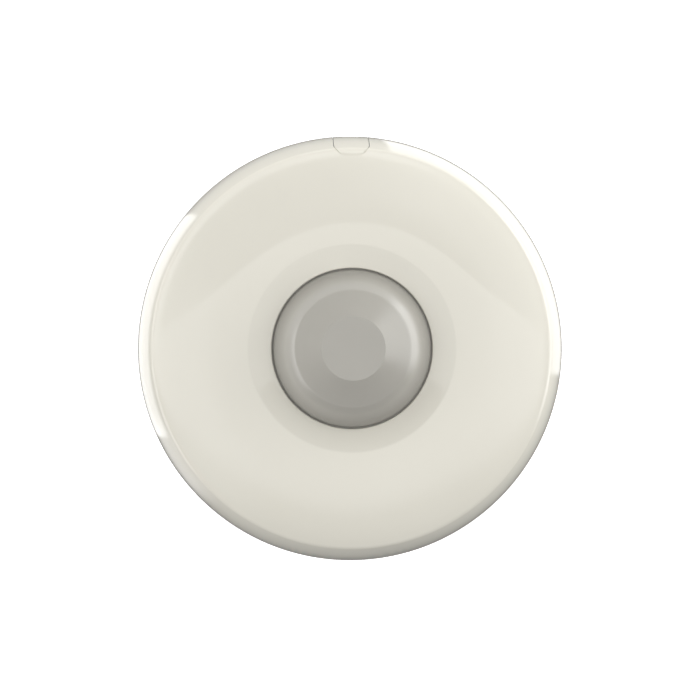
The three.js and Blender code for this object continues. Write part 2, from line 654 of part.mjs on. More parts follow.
place("filter_capacitor", capacitor(-19, 7, 2.5, 6), SLEEVE);
place("voltage_regulator", regulator(27, -10.5), BLACK);
place("terminal_block", terminalBlock(), TERMINAL_GREEN);
for (let way = 0; way < WAYS; way++) {
  place(`terminal_screw_${way + 1}`, terminalScrew(way), STEEL);
  place(`terminal_cage_${way + 1}`, terminalCage(way), BRASS);
}
place("tamper_switch", tamperSwitch(), BLACK);
place("tamper_plunger", tamperPlunger(), WHITE);
place("tamper_spring", tamperSpring(), STEEL);
place("option_switch_housing", dipHousing(), DIP_RED);
for (let way = 0; way < DIP.ways; way++) place(`option_slider_${way + 1}`, dipSlider(way), WHITE);
place("range_trimmer_base", trimmerBase(), TRIMMER_BLUE);
place("range_trimmer_rotor", trimmerRotor(), WHITE);

export default sensor;
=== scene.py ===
"""Looks of a ceiling-mount motion sensor: gloss cover, dome lens, screw-down base and its circuit board.

Outlines are in millimetres in the CAD model's frame: +Z out through the lens, the release catch at +Y.
"""

import math

import bmesh
import bpy
from mathutils import Matrix, Vector


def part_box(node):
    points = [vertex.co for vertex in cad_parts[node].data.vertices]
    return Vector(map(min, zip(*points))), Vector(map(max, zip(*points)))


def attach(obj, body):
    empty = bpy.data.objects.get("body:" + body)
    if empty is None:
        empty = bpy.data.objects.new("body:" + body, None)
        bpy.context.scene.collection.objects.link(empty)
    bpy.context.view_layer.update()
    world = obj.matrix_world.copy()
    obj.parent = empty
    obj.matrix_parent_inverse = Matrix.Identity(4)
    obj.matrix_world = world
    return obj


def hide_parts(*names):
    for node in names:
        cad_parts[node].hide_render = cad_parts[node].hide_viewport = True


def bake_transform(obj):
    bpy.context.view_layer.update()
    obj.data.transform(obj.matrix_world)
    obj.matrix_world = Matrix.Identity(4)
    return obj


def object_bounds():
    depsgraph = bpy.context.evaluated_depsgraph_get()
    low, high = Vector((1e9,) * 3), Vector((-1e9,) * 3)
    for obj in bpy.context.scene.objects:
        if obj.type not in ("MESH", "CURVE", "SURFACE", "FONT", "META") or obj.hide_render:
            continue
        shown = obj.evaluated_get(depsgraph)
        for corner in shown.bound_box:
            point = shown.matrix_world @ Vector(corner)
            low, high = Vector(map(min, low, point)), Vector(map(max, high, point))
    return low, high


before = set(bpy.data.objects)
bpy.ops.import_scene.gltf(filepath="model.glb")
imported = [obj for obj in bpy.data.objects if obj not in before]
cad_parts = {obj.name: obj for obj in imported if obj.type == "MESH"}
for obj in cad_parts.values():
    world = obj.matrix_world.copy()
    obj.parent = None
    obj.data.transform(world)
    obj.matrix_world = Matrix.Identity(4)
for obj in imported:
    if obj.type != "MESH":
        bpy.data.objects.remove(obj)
cad_low, cad_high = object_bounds()

MM = 0.001
MICROMETRE = 1e-6
FINE = 288  # steps round the large turned pieces
ROUND = 64  # steps round a small one
ON_AXIS = 1e-6  # a smaller radius than this is on the axis
PAST = 1.0  # how far a cutting shape reaches past the surface that it cuts
SINK = 0.3  # how far a raised shape starts inside the surface that it stands on


# ---- Mesh tools ---------------------------------------------------------------------------------
def box_mm(node):
    """Lowest corner, highest corner and middle of a CAD node, in millimetres."""
    low, high = (Vector(corner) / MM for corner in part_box(node))
    return low, high, (low + high) / 2


def middle_mm(node):
    return box_mm(node)[2]


def polar(radius, degrees):
    """A point on a circle round the Z axis, as a flat vector."""
    angle = math.radians(degrees)
    return Vector((radius * math.cos(angle), radius * math.sin(angle), 0)).xy


def arc(centre, radius, start, end, steps):
    """Points on an arc in the (radius, height) plane, from one angle in degrees to another."""
    points = []
    for i in range(steps + 1):
        angle = math.radians(start + (end - start) * i / steps)
        points.append((centre[0] + radius * math.cos(angle), centre[1] + radius * math.sin(angle)))
    return points


def straight(start, end, steps):
    """Points along a line, from just after its start up to its end."""
    points = []
    for i in range(1, steps + 1):
        share = i / steps
        points.append((start[0] + (end[0] - start[0]) * share, start[1] + (end[1] - start[1]) * share))
    return points


def lathe(bm, outline, steps=ROUND, centre=(0, 0)):
    """Turns an outline of (radius, height) points round an upright axis.

    The outline closes on itself, or its ends lie on the axis.
    """
    rings = []
    for radius, height in outline:
        if radius < ON_AXIS:
            rings.append([bm.verts.new((centre[0], centre[1], height))])
            continue
        ring = []
        for i in range(steps):
            angle = 2 * math.pi * i / steps
            x, y = radius * math.cos(angle), radius * math.sin(angle)
            ring.append(bm.verts.new((centre[0] + x, centre[1] + y, height)))
        rings.append(ring)
    pairs = list(zip(rings, rings[1:]))
    if outline[0][0] >= ON_AXIS and outline[-1][0] >= ON_AXIS:
        pairs.append((rings[-1], rings[0]))
    for first, second in pairs:
        for i in range(steps):
            j = (i + 1) % steps
            corners = [first[i % len(first)], first[j % len(first)]]
            corners += [second[j % len(second)], second[i % len(second)]]
            unique = list(dict.fromkeys(corners))
            if len(unique) > 2:
                bm.faces.new(unique)
    return bm


def drum(bm, radius, low, high, steps=ROUND, centre=(0, 0)):
    """A plain upright bar, mostly for cutting round holes."""
    return lathe(bm, [(0, low), (radius, low), (radius, high), (0, high)], steps, centre)


def band(bm, inner, outer, low, high, steps=ROUND, centre=(0, 0)):
    """A flat ring."""
    return lathe(bm, [(inner, low), (outer, low), (outer, high), (inner, high)], steps, centre)


def round_edges(bm, edges, radius, segments=2):
    bmesh.ops.bevel(bm, geom=edges, offset=radius, segments=segments, affect="EDGES", profile=0.5)


def block(bm, low, high, round_by=0.0, segments=2):
    """A box between two corners, with its edges rounded."""
    low, high = Vector(low), Vector(high)
    made = bmesh.ops.create_cube(bm, size=1)["verts"]
    for vert in made:
        vert.co = Vector(low[i] + (vert.co[i] + 0.5) * (high[i] - low[i]) for i in range(3))
    if round_by:
        edges = dict.fromkeys(edge for vert in made for edge in vert.link_edges)  # each edge once
        round_edges(bm, list(edges), round_by, segments)
    return bm


def post(bm, centre, half_sizes, low, high, round_by=0.0):
    """An upright box round a centre (x, y), with half its width and depth, between two heights."""
    x, y = centre
    dx, dy = half_sizes
    return block(bm, (x - dx, y - dy, low), (x + dx, y + dy, high), round_by)


def prism(bm, outline, low, high, matrix=None):
    """A flat outline carried from one height to another, then placed by a matrix."""
    ends = [[bm.verts.new((x, y, z)) for x, y in outline] for z in (low, high)]
    bm.faces.new(list(reversed(ends[0])))
    bm.faces.new(ends[1])
    for i in range(len(outline)):
        j = (i + 1) % len(outline)
        bm.faces.new((ends[0][i], ends[0][j], ends[1][j], ends[1][i]))
    if matrix:
        bmesh.ops.transform(bm, matrix=matrix, verts=ends[0] + ends[1])
    return bm


def tube(bm, path, radius, sides=10):
    """A round bar along a path of points."""
    path = [Vector(point) for point in path]
    side = None
    rings = []
    for i, point in enumerate(path):
        along = (path[min(i + 1, len(path) - 1)] - path[max(i - 1, 0)]).normalized()
        if side is None:
            side = along.orthogonal().normalized()
        side = (side - along * side.dot(along)).normalized()
        across = along.cross(side)
        ring = []
        for k in range(sides):
            angle = 2 * math.pi * k / sides
            ring.append(bm.verts.new(point + radius * (math.cos(angle) * side + math.sin(angle) * across)))
        rings.append(ring)
    for first, second in zip(rings, rings[1:]):
        for k in range(sides):
            m = (k + 1) % sides
            bm.faces.new((first[k], first[m], second[m], second[k]))
    bm.faces.new(list(reversed(rings[0])))
    bm.faces.new(rings[-1])
    return bm


def turned(degrees, x=0.0, y=0.0):
    """A turn about Z followed by a move in the XY plane."""
    return Matrix.Translation((x, y, 0)) @ Matrix.Rotation(math.radians(degrees), 4, "Z")


STANDING = Matrix.Rotation(math.radians(90), 4, "X")  # a flat outline's Y becomes Z


def moved(bm, matrix):
    bmesh.ops.transform(bm, matrix=matrix, verts=bm.verts)
    return bm


def append(target, extra):
    """Adds one bmesh's faces to another."""
    mesh = bpy.data.meshes.new("temporary")
    extra.to_mesh(mesh)
    extra.free()
    target.from_mesh(mesh)
    bpy.data.meshes.remove(mesh)
    return target


def temporary(bm):
    """An object that a Boolean works on and that is removed afterwards."""
    bmesh.ops.recalc_face_normals(bm, faces=bm.faces)
    mesh = bpy.data.meshes.new("temporary")
    bm.to_mesh(mesh)
    made = bpy.data.objects.new("temporary", mesh)
    bpy.context.scene.collection.objects.link(made)
    return made


def combine(first, second, operation):
    """Joins, cuts or intersects two closed bmeshes and gives the result as a new bmesh."""
    kept, tool = temporary(first), temporary(second)
    modifier = kept.modifiers.new("combine", "BOOLEAN")
    modifier.object = tool
    modifier.operation = operation
    modifier.solver = "EXACT"
    result = bmesh.new()
    result.from_object(kept, bpy.context.evaluated_depsgraph_get())
    for made in (kept, tool):
        mesh = made.data
        bpy.data.objects.remove(made)
        bpy.data.meshes.remove(mesh)
    first.free()
    second.free()
    return result


def cut(first, second):
    return combine(first, second, "DIFFERENCE")


def piece(name, bm, look, body, nodes=(), sharp=35):
    """A finished piece: its mesh, its material, the body it rides on and the CAD nodes it stands for.

    Edges that turn by more than the sharp angle, in degrees, are shaded as edges.
    """
    bmesh.ops.recalc_face_normals(bm, faces=bm.faces)
    mesh = bpy.data.meshes.new(name)
    bm.to_mesh(mesh)
    bm.free()
    mesh.transform(Matrix.Scale(MM, 4))
    mesh.shade_smooth()
    mesh.set_sharp_from_angle(angle=math.radians(sharp))
    mesh.materials.append(look)
    made = bpy.data.objects.new(name, mesh)
    bpy.context.scene.collection.objects.link(made)
    if body:
        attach(made, body)
    if nodes:
        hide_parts(*nodes)
    return made


# ---- Materials ----------------------------------------------------------------------------------
class Graph:
    """A node tree, with short ways to add nodes and join them."""

    def __init__(self, tree):
        self.nodes = tree.nodes
        self.links = tree.links

    def join(self, value, socket):
        """Gives a socket its value: a constant, or another node's output."""
        if isinstance(value, bpy.types.NodeSocket):
            self.links.new(value, socket)
        else:
            socket.default_value = value

    def add(self, kind, inputs=None, **settings):
        """Adds a node with its settings, joins its inputs by name, and gives its outputs."""
        node = self.nodes.new("ShaderNode" + kind)
        for name, setting in settings.items():
            setattr(node, name, setting)
        for name, value in (inputs or {}).items():
            self.join(value, node.inputs[name])
        return node.outputs

    def math(self, operation, *values):
        node = self.nodes.new("ShaderNodeMath")
        node.operation = operation
        for value, socket in zip(values, node.inputs):
            self.join(value, socket)
        return node.outputs["Value"]

    def ramp(self, value, start, end, low=0.0, high=1.0, curve="LINEAR"):
        """Goes from low to high as value goes from start to end, and is level outside."""
        inputs = {"Value": value, "From Min": start, "From Max": end, "To Min": low, "To Max": high}
        return self.add("MapRange", inputs, interpolation_type=curve)["Result"]

    def mix(self, share, first, second):
        """A blend of two colours."""
        return self.add("Mix", {"Factor": share, "A": first, "B": second}, data_type="RGBA")["Result"]


class Look(Graph):
    """A Principled material with colour variation, roughness variation and fine relief from noise."""

    def __init__(self, name, colour, roughness, metallic=0.0, **sockets):
        self.material = bpy.data.materials.new(name)
        self.material.use_nodes = True
        super().__init__(self.material.node_tree)
        self.surface = self.nodes["Principled BSDF"].inputs
        self.colour = colour
        self.place = self.add("TexCoord")["Object"]
        self.tint = None
        self.normal = None
        constants = {"Base_Color": self.shade(1), "Roughness": roughness, "Metallic": metallic, **sockets}
        for socket, value in constants.items():
            self.surface[socket.replace("_", " ")].default_value = value

    def shade(self, share):
        """The base colour times a share."""
        return tuple(min(1.0, channel * share) for channel in self.colour) + (1.0,)

    def paint(self, tint):
        """Makes an output the surface's colour."""
        self.tint = tint
        self.links.new(tint, self.surface["Base Color"])
        return self

    def noise(self, size, detail=3.0, stretch=(1, 1, 1)):
        """Noise with features of about this size, in millimetres."""
        place = self.add("Mapping", {"Vector": self.place, "Scale": stretch})["Vector"]
        return self.add("TexNoise", {"Vector": place, "Scale": 1 / (size * MM), "Detail": detail})["Fac"]

    def spread(self, noise, low, high):
        """Maps a noise value's middle range onto low to high."""
        return self.ramp(noise, 0.3, 0.7, low, high)

    def mottle(self, size, darker=0.96, lighter=1.03, stretch=(1, 1, 1)):
        """Cloudy colour variation between two multiples of the base colour."""
        cloud = self.spread(self.noise(size, stretch=stretch), 0, 1)
        return self.paint(self.mix(cloud, self.shade(darker), self.shade(lighter)))

    def paint_edge_shade(self, start, end, share):
        """Painted shade: darkens the colour to a share of itself where the surface turns away from the eye.
        """
        facing = self.add("LayerWeight", {"Blend": 0.5})["Facing"]
        return self.paint(self.mix(self.ramp(facing, start, end), self.tint, self.shade(share)))

    def paint_shade_by_radius(self, near, far, darkest, paler):
        """Painted shade: darkens the colour inside a far radius, most at the near one, in millimetres from
        the Z axis.
        """
        flat = self.add("VectorMath", {0: self.place, 1: (1 / MM, 1 / MM, 0)}, operation="MULTIPLY")["Vector"]
        radius = self.add("VectorMath", {0: flat}, operation="LENGTH")["Value"]
        inside = self.ramp(radius, near, far, darkest, paler)
        outside = self.ramp(radius, far, far + RECESS_LIP, paler, 1.0)
        scaled = {0: self.tint, "Scale": self.math("MAXIMUM", inside, outside)}
        return self.paint(self.add("VectorMath", scaled, operation="SCALE")["Vector"])

    def smudge(self, size, low, high, stretch=(1, 1, 1)):
        """Roughness that varies between two values."""
        self.join(self.spread(self.noise(size, stretch=stretch), low, high), self.surface["Roughness"])
        return self

    def relief(self, size, depth, stretch=(1, 1, 1), detail=2.0):
        """Fine surface relief: features of a size, in millimetres, with a depth in micrometres."""
        inputs = {"Strength": 1.0, "Distance": depth * MICROMETRE}
        inputs["Height"] = self.noise(size, detail, stretch)
        if self.normal:
            inputs["Normal"] = self.normal
        self.normal = self.add("Bump", inputs)["Normal"]
        self.links.new(self.normal, self.surface["Normal"])
        return self


def plastic(name, colour, roughness, grain=0.25, depth=6.0, **sockets):
    """Moulded plastic: faint flow clouds and a fine mould texture."""
    look = Look(name, colour, roughness, **sockets)
    look.mottle(9.0, 0.96, 1.03)
    look.smudge(3.0, roughness * 0.85, min(1.0, roughness * 1.15))
    return look.relief(grain, depth).material


def metal(name, colour, roughness, stretch=(1, 1, 1), depth=3.0):
    """Plated metal: drawn or stamped streaks and small handling marks."""
    look = Look(name, colour, roughness, metallic=1.0)
    look.mottle(1.6, 0.85, 1.05, stretch)
    look.smudge(0.8, roughness * 0.7, roughness * 1.35, stretch)
    return look.relief(0.3, depth, stretch).material


RECESS_START = 25.4  # the radius where the cover's face begins to fall into the cone round the lens
RECESS_LIP = 0.4


def gloss_cover():
    """Polished ABS: near-mirror gloss over a faintly cloudy ivory, with a slight waviness from the mould.

    The shallow cone round the lens is a little darker: shade from the lens, painted into its colour.
    """
    look = Look("gloss_cover", (0.785, 0.760, 0.672), 0.02, IOR=1.53)
    look.mottle(22.0, 0.992, 1.006)
    look.smudge(6.0, 0.012, 0.028)
    look.relief(14.0, 1.2)
    # painted shade: the cone round the lens is darkened towards the opening
    look.paint_shade_by_radius(20.2, RECESS_START, 0.91, 0.965)
    return look.material


def lens_film():
    """Milky polyethylene: soft sheen, a faint grain, and painted shade where the film is seen edge-on.

    A weak glow, painted light, stands in for the light that comes back out of the milky film.
    """
    # painted light: a weak even glow over the whole lens film
    glow = {"Emission_Color": (1, 0.96, 0.9, 1), "Emission_Strength": 0.04}
    look = Look("lens_film", (0.375, 0.362, 0.325), 0.19, IOR=1.5, **glow)
    look.mottle(7.0, 0.985, 1.012)
    look.smudge(2.0, 0.17, 0.21)
    look.relief(0.35, 1.5)
    # painted shade: the lens is darkened towards its rim, where it turns away from the eye
    look.paint_edge_shade(0.43, 0.74, 0.51)
    return look.material


def filter_glass():
    """The dark, polished window in front of the infrared detector."""
    look = Look("infrared_filter", (0.03, 0.022, 0.035), 0.06)
    look.mottle(2.0, 0.8, 1.3)
    look.smudge(1.0, 0.04, 0.1)
    return look.material


def lamp_epoxy():
    look = Look("red_epoxy", (0.5, 0.012, 0.008), 0.08, Transmission_Weight=0.35)
    look.mottle(2.0, 0.9, 1.1)
    return look.material


COVER = gloss_cover()
LENS = lens_film()
BASE = plastic("base_plastic", (0.74, 0.72, 0.635), 0.42, 0.22, 9.0)
NYLON = plastic("white_nylon", (0.80, 0.80, 0.77), 0.38)
MASK = plastic("solder_mask", (0.012, 0.105, 0.045), 0.28, 0.6, 5.0)
MASK_TRACE = plastic("mask_over_copper", (0.035, 0.20, 0.085), 0.26, 0.6, 4.0)
GLASS_FIBRE = plastic("glass_fibre_edge", (0.42, 0.38, 0.20), 0.7, 0.12, 14.0)
INK = plastic("white_ink", (0.78, 0.78, 0.74), 0.55, 0.15, 4.0)
EPOXY = plastic("black_epoxy", (0.018, 0.018, 0.020), 0.5, 0.12, 7.0)
TIN = metal("tinned_lead", (0.68, 0.68, 0.66), 0.28)
ZINC = metal("zinc_plate", (0.62, 0.63, 0.63), 0.27)
NICKEL = metal("nickel_can", (0.66, 0.64, 0.60), 0.2, (1, 1, 5))
SPRING = metal("spring_wire", (0.52, 0.52, 0.52), 0.3, (1, 1, 6))
BRASS = metal("cage_brass", (0.72, 0.55, 0.24), 0.3)
ALUMINIUM = metal("can_aluminium", (0.72, 0.73, 0.74), 0.3)
FILTER = filter_glass()
LED = lamp_epoxy()
RELAY = plastic("relay_case", (0.72, 0.68, 0.55), 0.35, 0.3, 5.0)
SLEEVE = plastic("capacitor_sleeve", (0.015, 0.022, 0.075), 0.3, 0.8, 6.0)
SLEEVE_STRIPE = plastic("sleeve_stripe", (0.55, 0.58, 0.62), 0.32, 0.8, 6.0)
GREEN = plastic("terminal_polyamide", (0.02, 0.22, 0.075), 0.4)
RED = plastic("switch_housing", (0.42, 0.015, 0.012), 0.4)
BLUE = plastic("trimmer_housing", (0.02, 0.10, 0.40), 0.36)
CERAMIC = plastic("ceramic_body", (0.30, 0.22, 0.14), 0.5, 0.15, 5.0)
RESISTOR = plastic("resistor_body", (0.022, 0.022, 0.026), 0.32, 0.2, 3.0)

# ---- Cover, catch and lens: the shapes seen from outside ------------------------------------------
cover_low, cover_high, _ = box_mm("front_cover")
lens_low, lens_high, _ = box_mm("fresnel_lens")
catch_high = box_mm("release_catch")[1]
RIM = cover_high.x
EDGE = cover_low.z
FACE = cover_high.z
WALL = 2.0
CROWN_START, CROWN_END = 26.0, 48.7
GENTLE, STEEP = 0.26, 0.277  # the crown's slope: a gentle part and one that takes over near the shoulder
GENTLE_POWER, STEEP_POWER = 1.1, 6.1  # how each part of the slope grows with the radius
SHOULDER = 2.0
SIDE_TILT = 24.6
LIP = [(25.45, 0.005), (25.25, 0.03), (25.05, 0.07), (24.8, 0.095)]  # (radius, drop) into the recess
CONE_FOOT = (20.1, 0.78)
OPENING = 19.75
OPENING_ROUND = 0.3
COLLAR_INNER, COLLAR_OUTER, COLLAR_FOOT = 22.6, 24.0, 15.4
COLLAR_ROUND = 0.2
LENS_SEAT = 18.6
TAB_HALF_WIDTH, TAB_SHOULDER, TAB_TOP, TAB_DEPTH = 4.5, 13.7, 18.2, 46.4
TAB_POWER = 3.7  # the slot's top is a superellipse


def crown(radius, inset=0.0):
    """A point on the face at a radius, moved inwards along the normal."""
    span = CROWN_END - CROWN_START
    share = max(0.0, (radius - CROWN_START) / span)
    slope = GENTLE * share**GENTLE_POWER + STEEP * share**STEEP_POWER
    gentle_drop = GENTLE * share ** (GENTLE_POWER + 1) / (GENTLE_POWER + 1)
    steep_drop = STEEP * share ** (STEEP_POWER + 1) / (STEEP_POWER + 1)
    length = math.hypot(1, slope)
    return radius - inset * slope / length, FACE - span * (gentle_drop + steep_drop) - inset / length


def cover_outline(inset):
    """The side, the shoulder and the crown, from the open edge inwards."""
    lean = math.degrees(math.atan(GENTLE + STEEP))
    fillet = crown(CROWN_END, SHOULDER)
    tilt = math.radians(SIDE_TILT)
    join = (fillet[0] + SHOULDER * math.cos(tilt), fillet[1] + SHOULDER * math.sin(tilt))
    side = (RIM - join[0]) / (1 - math.cos(tilt))
    centre = (RIM - side, join[1] - side * math.sin(tilt))
    start = math.degrees(math.asin((EDGE - centre[1]) / (side - inset)))
    points = arc(centre, side - inset, start, SIDE_TILT, 26)
    if inset < SHOULDER:
        points += arc(fillet, SHOULDER - inset, SIDE_TILT, 90 - lean, 12)[1:-1]
    steps = 46
    first = 0 if inset < SHOULDER else 1
    for i in range(first, steps + 1):
        points.append(crown(CROWN_END + (CROWN_START - CROWN_END) * i / steps, inset))
    return points


def cover_shell():
    """The cover's wall: outside, recess, lens opening, lens collar and inside."""
    break_edge = 0.15
    outer = cover_outline(0)
    outer[0] = (outer[0][0] - break_edge, EDGE)
    outer.insert(1, (RIM - 0.01, EDGE + break_edge))
    lip = [(radius, FACE - drop) for radius, drop in LIP]
    opening_height = FACE - CONE_FOOT[1]
    cone = straight(lip[-1], (CONE_FOOT[0], opening_height), 8)
    edge = arc((OPENING + OPENING_ROUND, opening_height - OPENING_ROUND), OPENING_ROUND, 98, 180, 5)
    shelf = COLLAR_FOOT + COLLAR_ROUND
    seat = [(OPENING, LENS_SEAT), (COLLAR_INNER, LENS_SEAT), (COLLAR_INNER, shelf)]
    collar = [(COLLAR_INNER + COLLAR_ROUND, COLLAR_FOOT), (COLLAR_OUTER - COLLAR_ROUND, COLLAR_FOOT)]
    collar += [(COLLAR_OUTER, shelf), (COLLAR_OUTER, FACE - WALL)]
    inner = list(reversed(cover_outline(WALL)))
    return lathe(bmesh.new(), outer + lip + cone + edge + seat + collar + inner, FINE)


def tab_prism(inset, near):
    """The catch's slot: straight sides and a rounded top, running out along +Y through the cover's side."""
    half_width = TAB_HALF_WIDTH - inset
    rise = TAB_TOP - inset - TAB_SHOULDER
    outline = [(-half_width, -PAST), (half_width, -PAST)]
    steps = 72
    for i in range(steps + 1):
        angle = math.pi * i / steps
        across = math.copysign(abs(math.cos(angle)) ** (2 / TAB_POWER), math.cos(angle))
        outline.append((half_width * across, TAB_SHOULDER + rise * abs(math.sin(angle)) ** (2 / TAB_POWER)))
    far = RIM + 2
    return prism(bmesh.new(), outline, 0, far - near, Matrix.Translation((0, far, 0)) @ STANDING)


def front_cover():
    shell = cut(cover_shell(), tab_prism(0, TAB_DEPTH - 1.7))
    under_face = FACE - 1.2
    pusher = [(0, 15.35), (1.5, 15.35), (1.8, 15.65), (1.8, under_face), (0, under_face)]
    lathe(shell, pusher, 32, middle_mm("tamper_plunger").xy)  # holds the tamper button down
    first, last, steps = 25.5, 45.0, 12
    rib = [crown(first + (last - first) * i / steps, WALL - SINK) for i in range(steps + 1)]
    rib += [(last, 16.6), (first, 18.1)]
    for degrees in range(0, 360, 30):  # stiffening ribs under the face
        if degrees != 90:  # the catch's slot is there
            prism(shell, rib, -0.45, 0.45, turned(degrees) @ STANDING)
    block(shell, (-5, -51.5, 1), (5, -48.6, 2.7), 0.25)  # the hook
    for side in (-1, 1):  # ledges that the catch's nib holds
        inner, outer = sorted((side * 4.7, side * 7.4))
        block(shell, (inner, 49.35, 6), (outer, 50.55, 7.7), 0.15)
    return piece("cover_moulding", shell, COVER, "cover", ["front_cover"], 30)


def release_catch():
    gap = 0.16
    pad = combine(cover_shell(), tab_prism(gap, TAB_DEPTH), "INTERSECT")
    notch = block(bmesh.new(), (-2, RIM - 4, -1), (2, RIM + 4, 5.1))
    end = block(bmesh.new(), (-8, catch_high.y, -2), (8, RIM + 4, FACE))
    pad = cut(cut(pad, notch), end)
    block(pad, (-3.2, 48.4, 2.6), (3.2, 50.3, 11.6), 0.2)  # the arm
    block(pad, (-6.2, 48, 8), (6.2, 49, 9.6), 0.15)  # the nib
    return piece("catch_moulding", pad, COVER, "catch", ["release_catch"], 30)


DOME_RADIUS = 20.0
DOME_BASE = 19.4  # radius where the dome meets its flange
CONE_RADIUS, DISC_RADIUS = 14.28, 7.79
DOME_CENTRE = lens_high.z - math.sqrt(DOME_RADIUS**2 - DISC_RADIUS**2)
DOME_WALL = 0.7
RIDGE = 0.12  # height of the Fresnel ridges on the inside


def dome_outline(radius, ridge=0.0):
    """Curved zone, conical ring and flat disc. The inside carries fine ridges, as a Fresnel lens does."""
    scale = radius / DOME_RADIUS
    start = math.degrees(math.asin((DOME_BASE - (DOME_RADIUS - radius)) / radius))
    stop = math.degrees(math.asin(CONE_RADIUS * scale / radius))
    points = arc((0, DOME_CENTRE), radius, 90 - start, 90 - stop, 40)
    disc = DISC_RADIUS * scale
    top = DOME_CENTRE + math.sqrt(radius**2 - disc**2)
    flat_parts = straight(points[-1], (disc, top), 14) + straight((disc, top), (0, top), 16)
    for i, (across, height) in enumerate(flat_parts, 1):
        points.append((across, height - ridge * (i % 2)))
    return points


def fresnel_lens():
    base, top = lens_low.z, lens_low.z + DOME_WALL
    inside = list(reversed(dome_outline(DOME_RADIUS - DOME_WALL, RIDGE)))
    flange = [(DOME_BASE - DOME_WALL, base), (22.2, base), (22.3, base + 0.1), (22.3, top - 0.1), (22.2, top)]
    foot = [(DOME_BASE + 0.1, top), (DOME_BASE, top + 0.1)]
    dome = lathe(bmesh.new(), inside + flange + foot + dome_outline(DOME_RADIUS), FINE)
    return piece("lens_dome", dome, LENS, "cover", ["fresnel_lens"], 25)


def lens_retainer():
    low, high, _ = box_mm("lens_retainer")
    low, high = low.z, high.z
    outline = [(19, low + 0.2), (19.2, low), (22, low), (22.2, low + 0.2), (22.2, high - 0.2)]
    outline += [(22, high), (19.2, high), (19, high - 0.2)]
    ring = lathe(bmesh.new(), outline, FINE // 2)
    for degrees in (30, 150, 270):  # lugs that lock into the collar
        append(ring, moved(block(bmesh.new(), (21.8, -2, 16.2), (23, 2, 17.2), 0.2), turned(degrees)))
    for degrees in range(0, 360, 60):  # raised grips for the tool that turns the ring
        grip = block(bmesh.new(), (19.4, -0.8, low - 0.15), (21.6, 0.8, low + 0.3), 0.1)
        append(ring, moved(grip, turned(degrees)))
    return piece("lens_ring", ring, NYLON, "cover", ["lens_retainer"])


front_cover()
release_catch()
fresnel_lens()
lens_retainer()


# ---- Mounting base ------------------------------------------------------------------------------
FLOOR = 2.2  # thickness of the base's floor
GAP = 0.05  # between the board and a part beside it
SLOT_RADIUS, SLOT_SWEEP = 42.5, 7  # the screw slots: radius, and half their angle in degrees
SLOT_BEARINGS = (0, 180)
SLOT_HALF_WIDTH = 1.9
ENTRY_Y, ENTRY_HALF_LENGTH, ENTRY_HALF_WIDTH = -38.5, 9, 4  # the cable entry
SCREW_NODES = [f"board_screw_{i}" for i in (1, 2, 3)]


def slot_outline(half_width, degrees):
    """A screw slot: part of a circle round the base's middle, with round ends, as (x, y) points."""
    low, high = degrees - SLOT_SWEEP, degrees + SLOT_SWEEP
    steps = 16
    points = []
    for i in range(steps + 1):
        points.append(polar(SLOT_RADIUS + half_width, low + (high - low) * i / steps))
    for i in range(1, steps):
        points.append(polar(SLOT_RADIUS, high) + polar(half_width, high + 180 * i / steps))
    for i in range(steps + 1):
        points.append(polar(SLOT_RADIUS - half_width, high - (high - low) * i / steps))
    for i in range(1, steps):
        points.append(polar(SLOT_RADIUS, low) + polar(half_width, low + 180 + 180 * i / steps))
    return [tuple(point) for point in points]


def entry_outline(margin=0):
    """The cable entry with a margin round it: a slot with round ends, lying along X."""
    half_width = ENTRY_HALF_WIDTH + margin
    straight_part = ENTRY_HALF_LENGTH - ENTRY_HALF_WIDTH
    steps = 20
    points = []
    for side, start in ((1, -90), (-1, 90)):
        for i in range(steps + 1):
            at = polar(half_width, start + 180 * i / steps)
            points.append((side * straight_part + at.x, ENTRY_Y + at.y))
    return points


def tray():
    """The base's floor and rim, with every opening cut."""
    _, high, _ = box_mm("mounting_base")
    rim, top = high.x, high.z
    inner = rim - 1.8
    outline = [(0, 0), (rim - 0.6, 0)] + arc((rim - 0.6, 0.6), 0.6, -80, 0, 4)
    outline += arc((rim - 0.6, top - 0.6), 0.6, 0, 90, 5) + arc((inner + 0.3, top - 0.3), 0.3, 90, 180, 3)
    outline += arc((inner - 0.5, FLOOR + 0.5), 0.5, 0, -90, 4) + [(0, FLOOR)]
    made = lathe(bmesh.new(), outline, FINE)
    made = combine(made, block(bmesh.new(), (-4, 44.5, 0.01), (4, 50.3, FLOOR)), "UNION")
    openings = block(bmesh.new(), (-6.2, rim - 4.8, FLOOR), (6.2, rim + 4.8, top + PAST))  # for the catch
    block(openings, (-5.5, -rim - 2.2, 0.6), (5.5, -rim + 2.2, 4.6))  # for the cover's hook
    prism(openings, entry_outline(), -PAST, FLOOR + PAST)
    for degrees in SLOT_BEARINGS:
        prism(openings, slot_outline(SLOT_HALF_WIDTH, degrees), -PAST, FLOOR + 3)
    made = cut(made, openings)
    relief = band(bmesh.new(), 30.0, 30.6, -PAST, 0.25, 160)  # moulded recesses on the back
    for degrees in (45, 135, 225, 315):  # ejector marks
        drum(relief, 2.2, -PAST, 0.15, 40, polar(22, degrees))
    for degrees in (35, 145):  # thin-wall knockouts
        band(relief, 3.2, 3.7, -PAST, 0.9, 48, polar(41, degrees))
    return cut(made, relief)


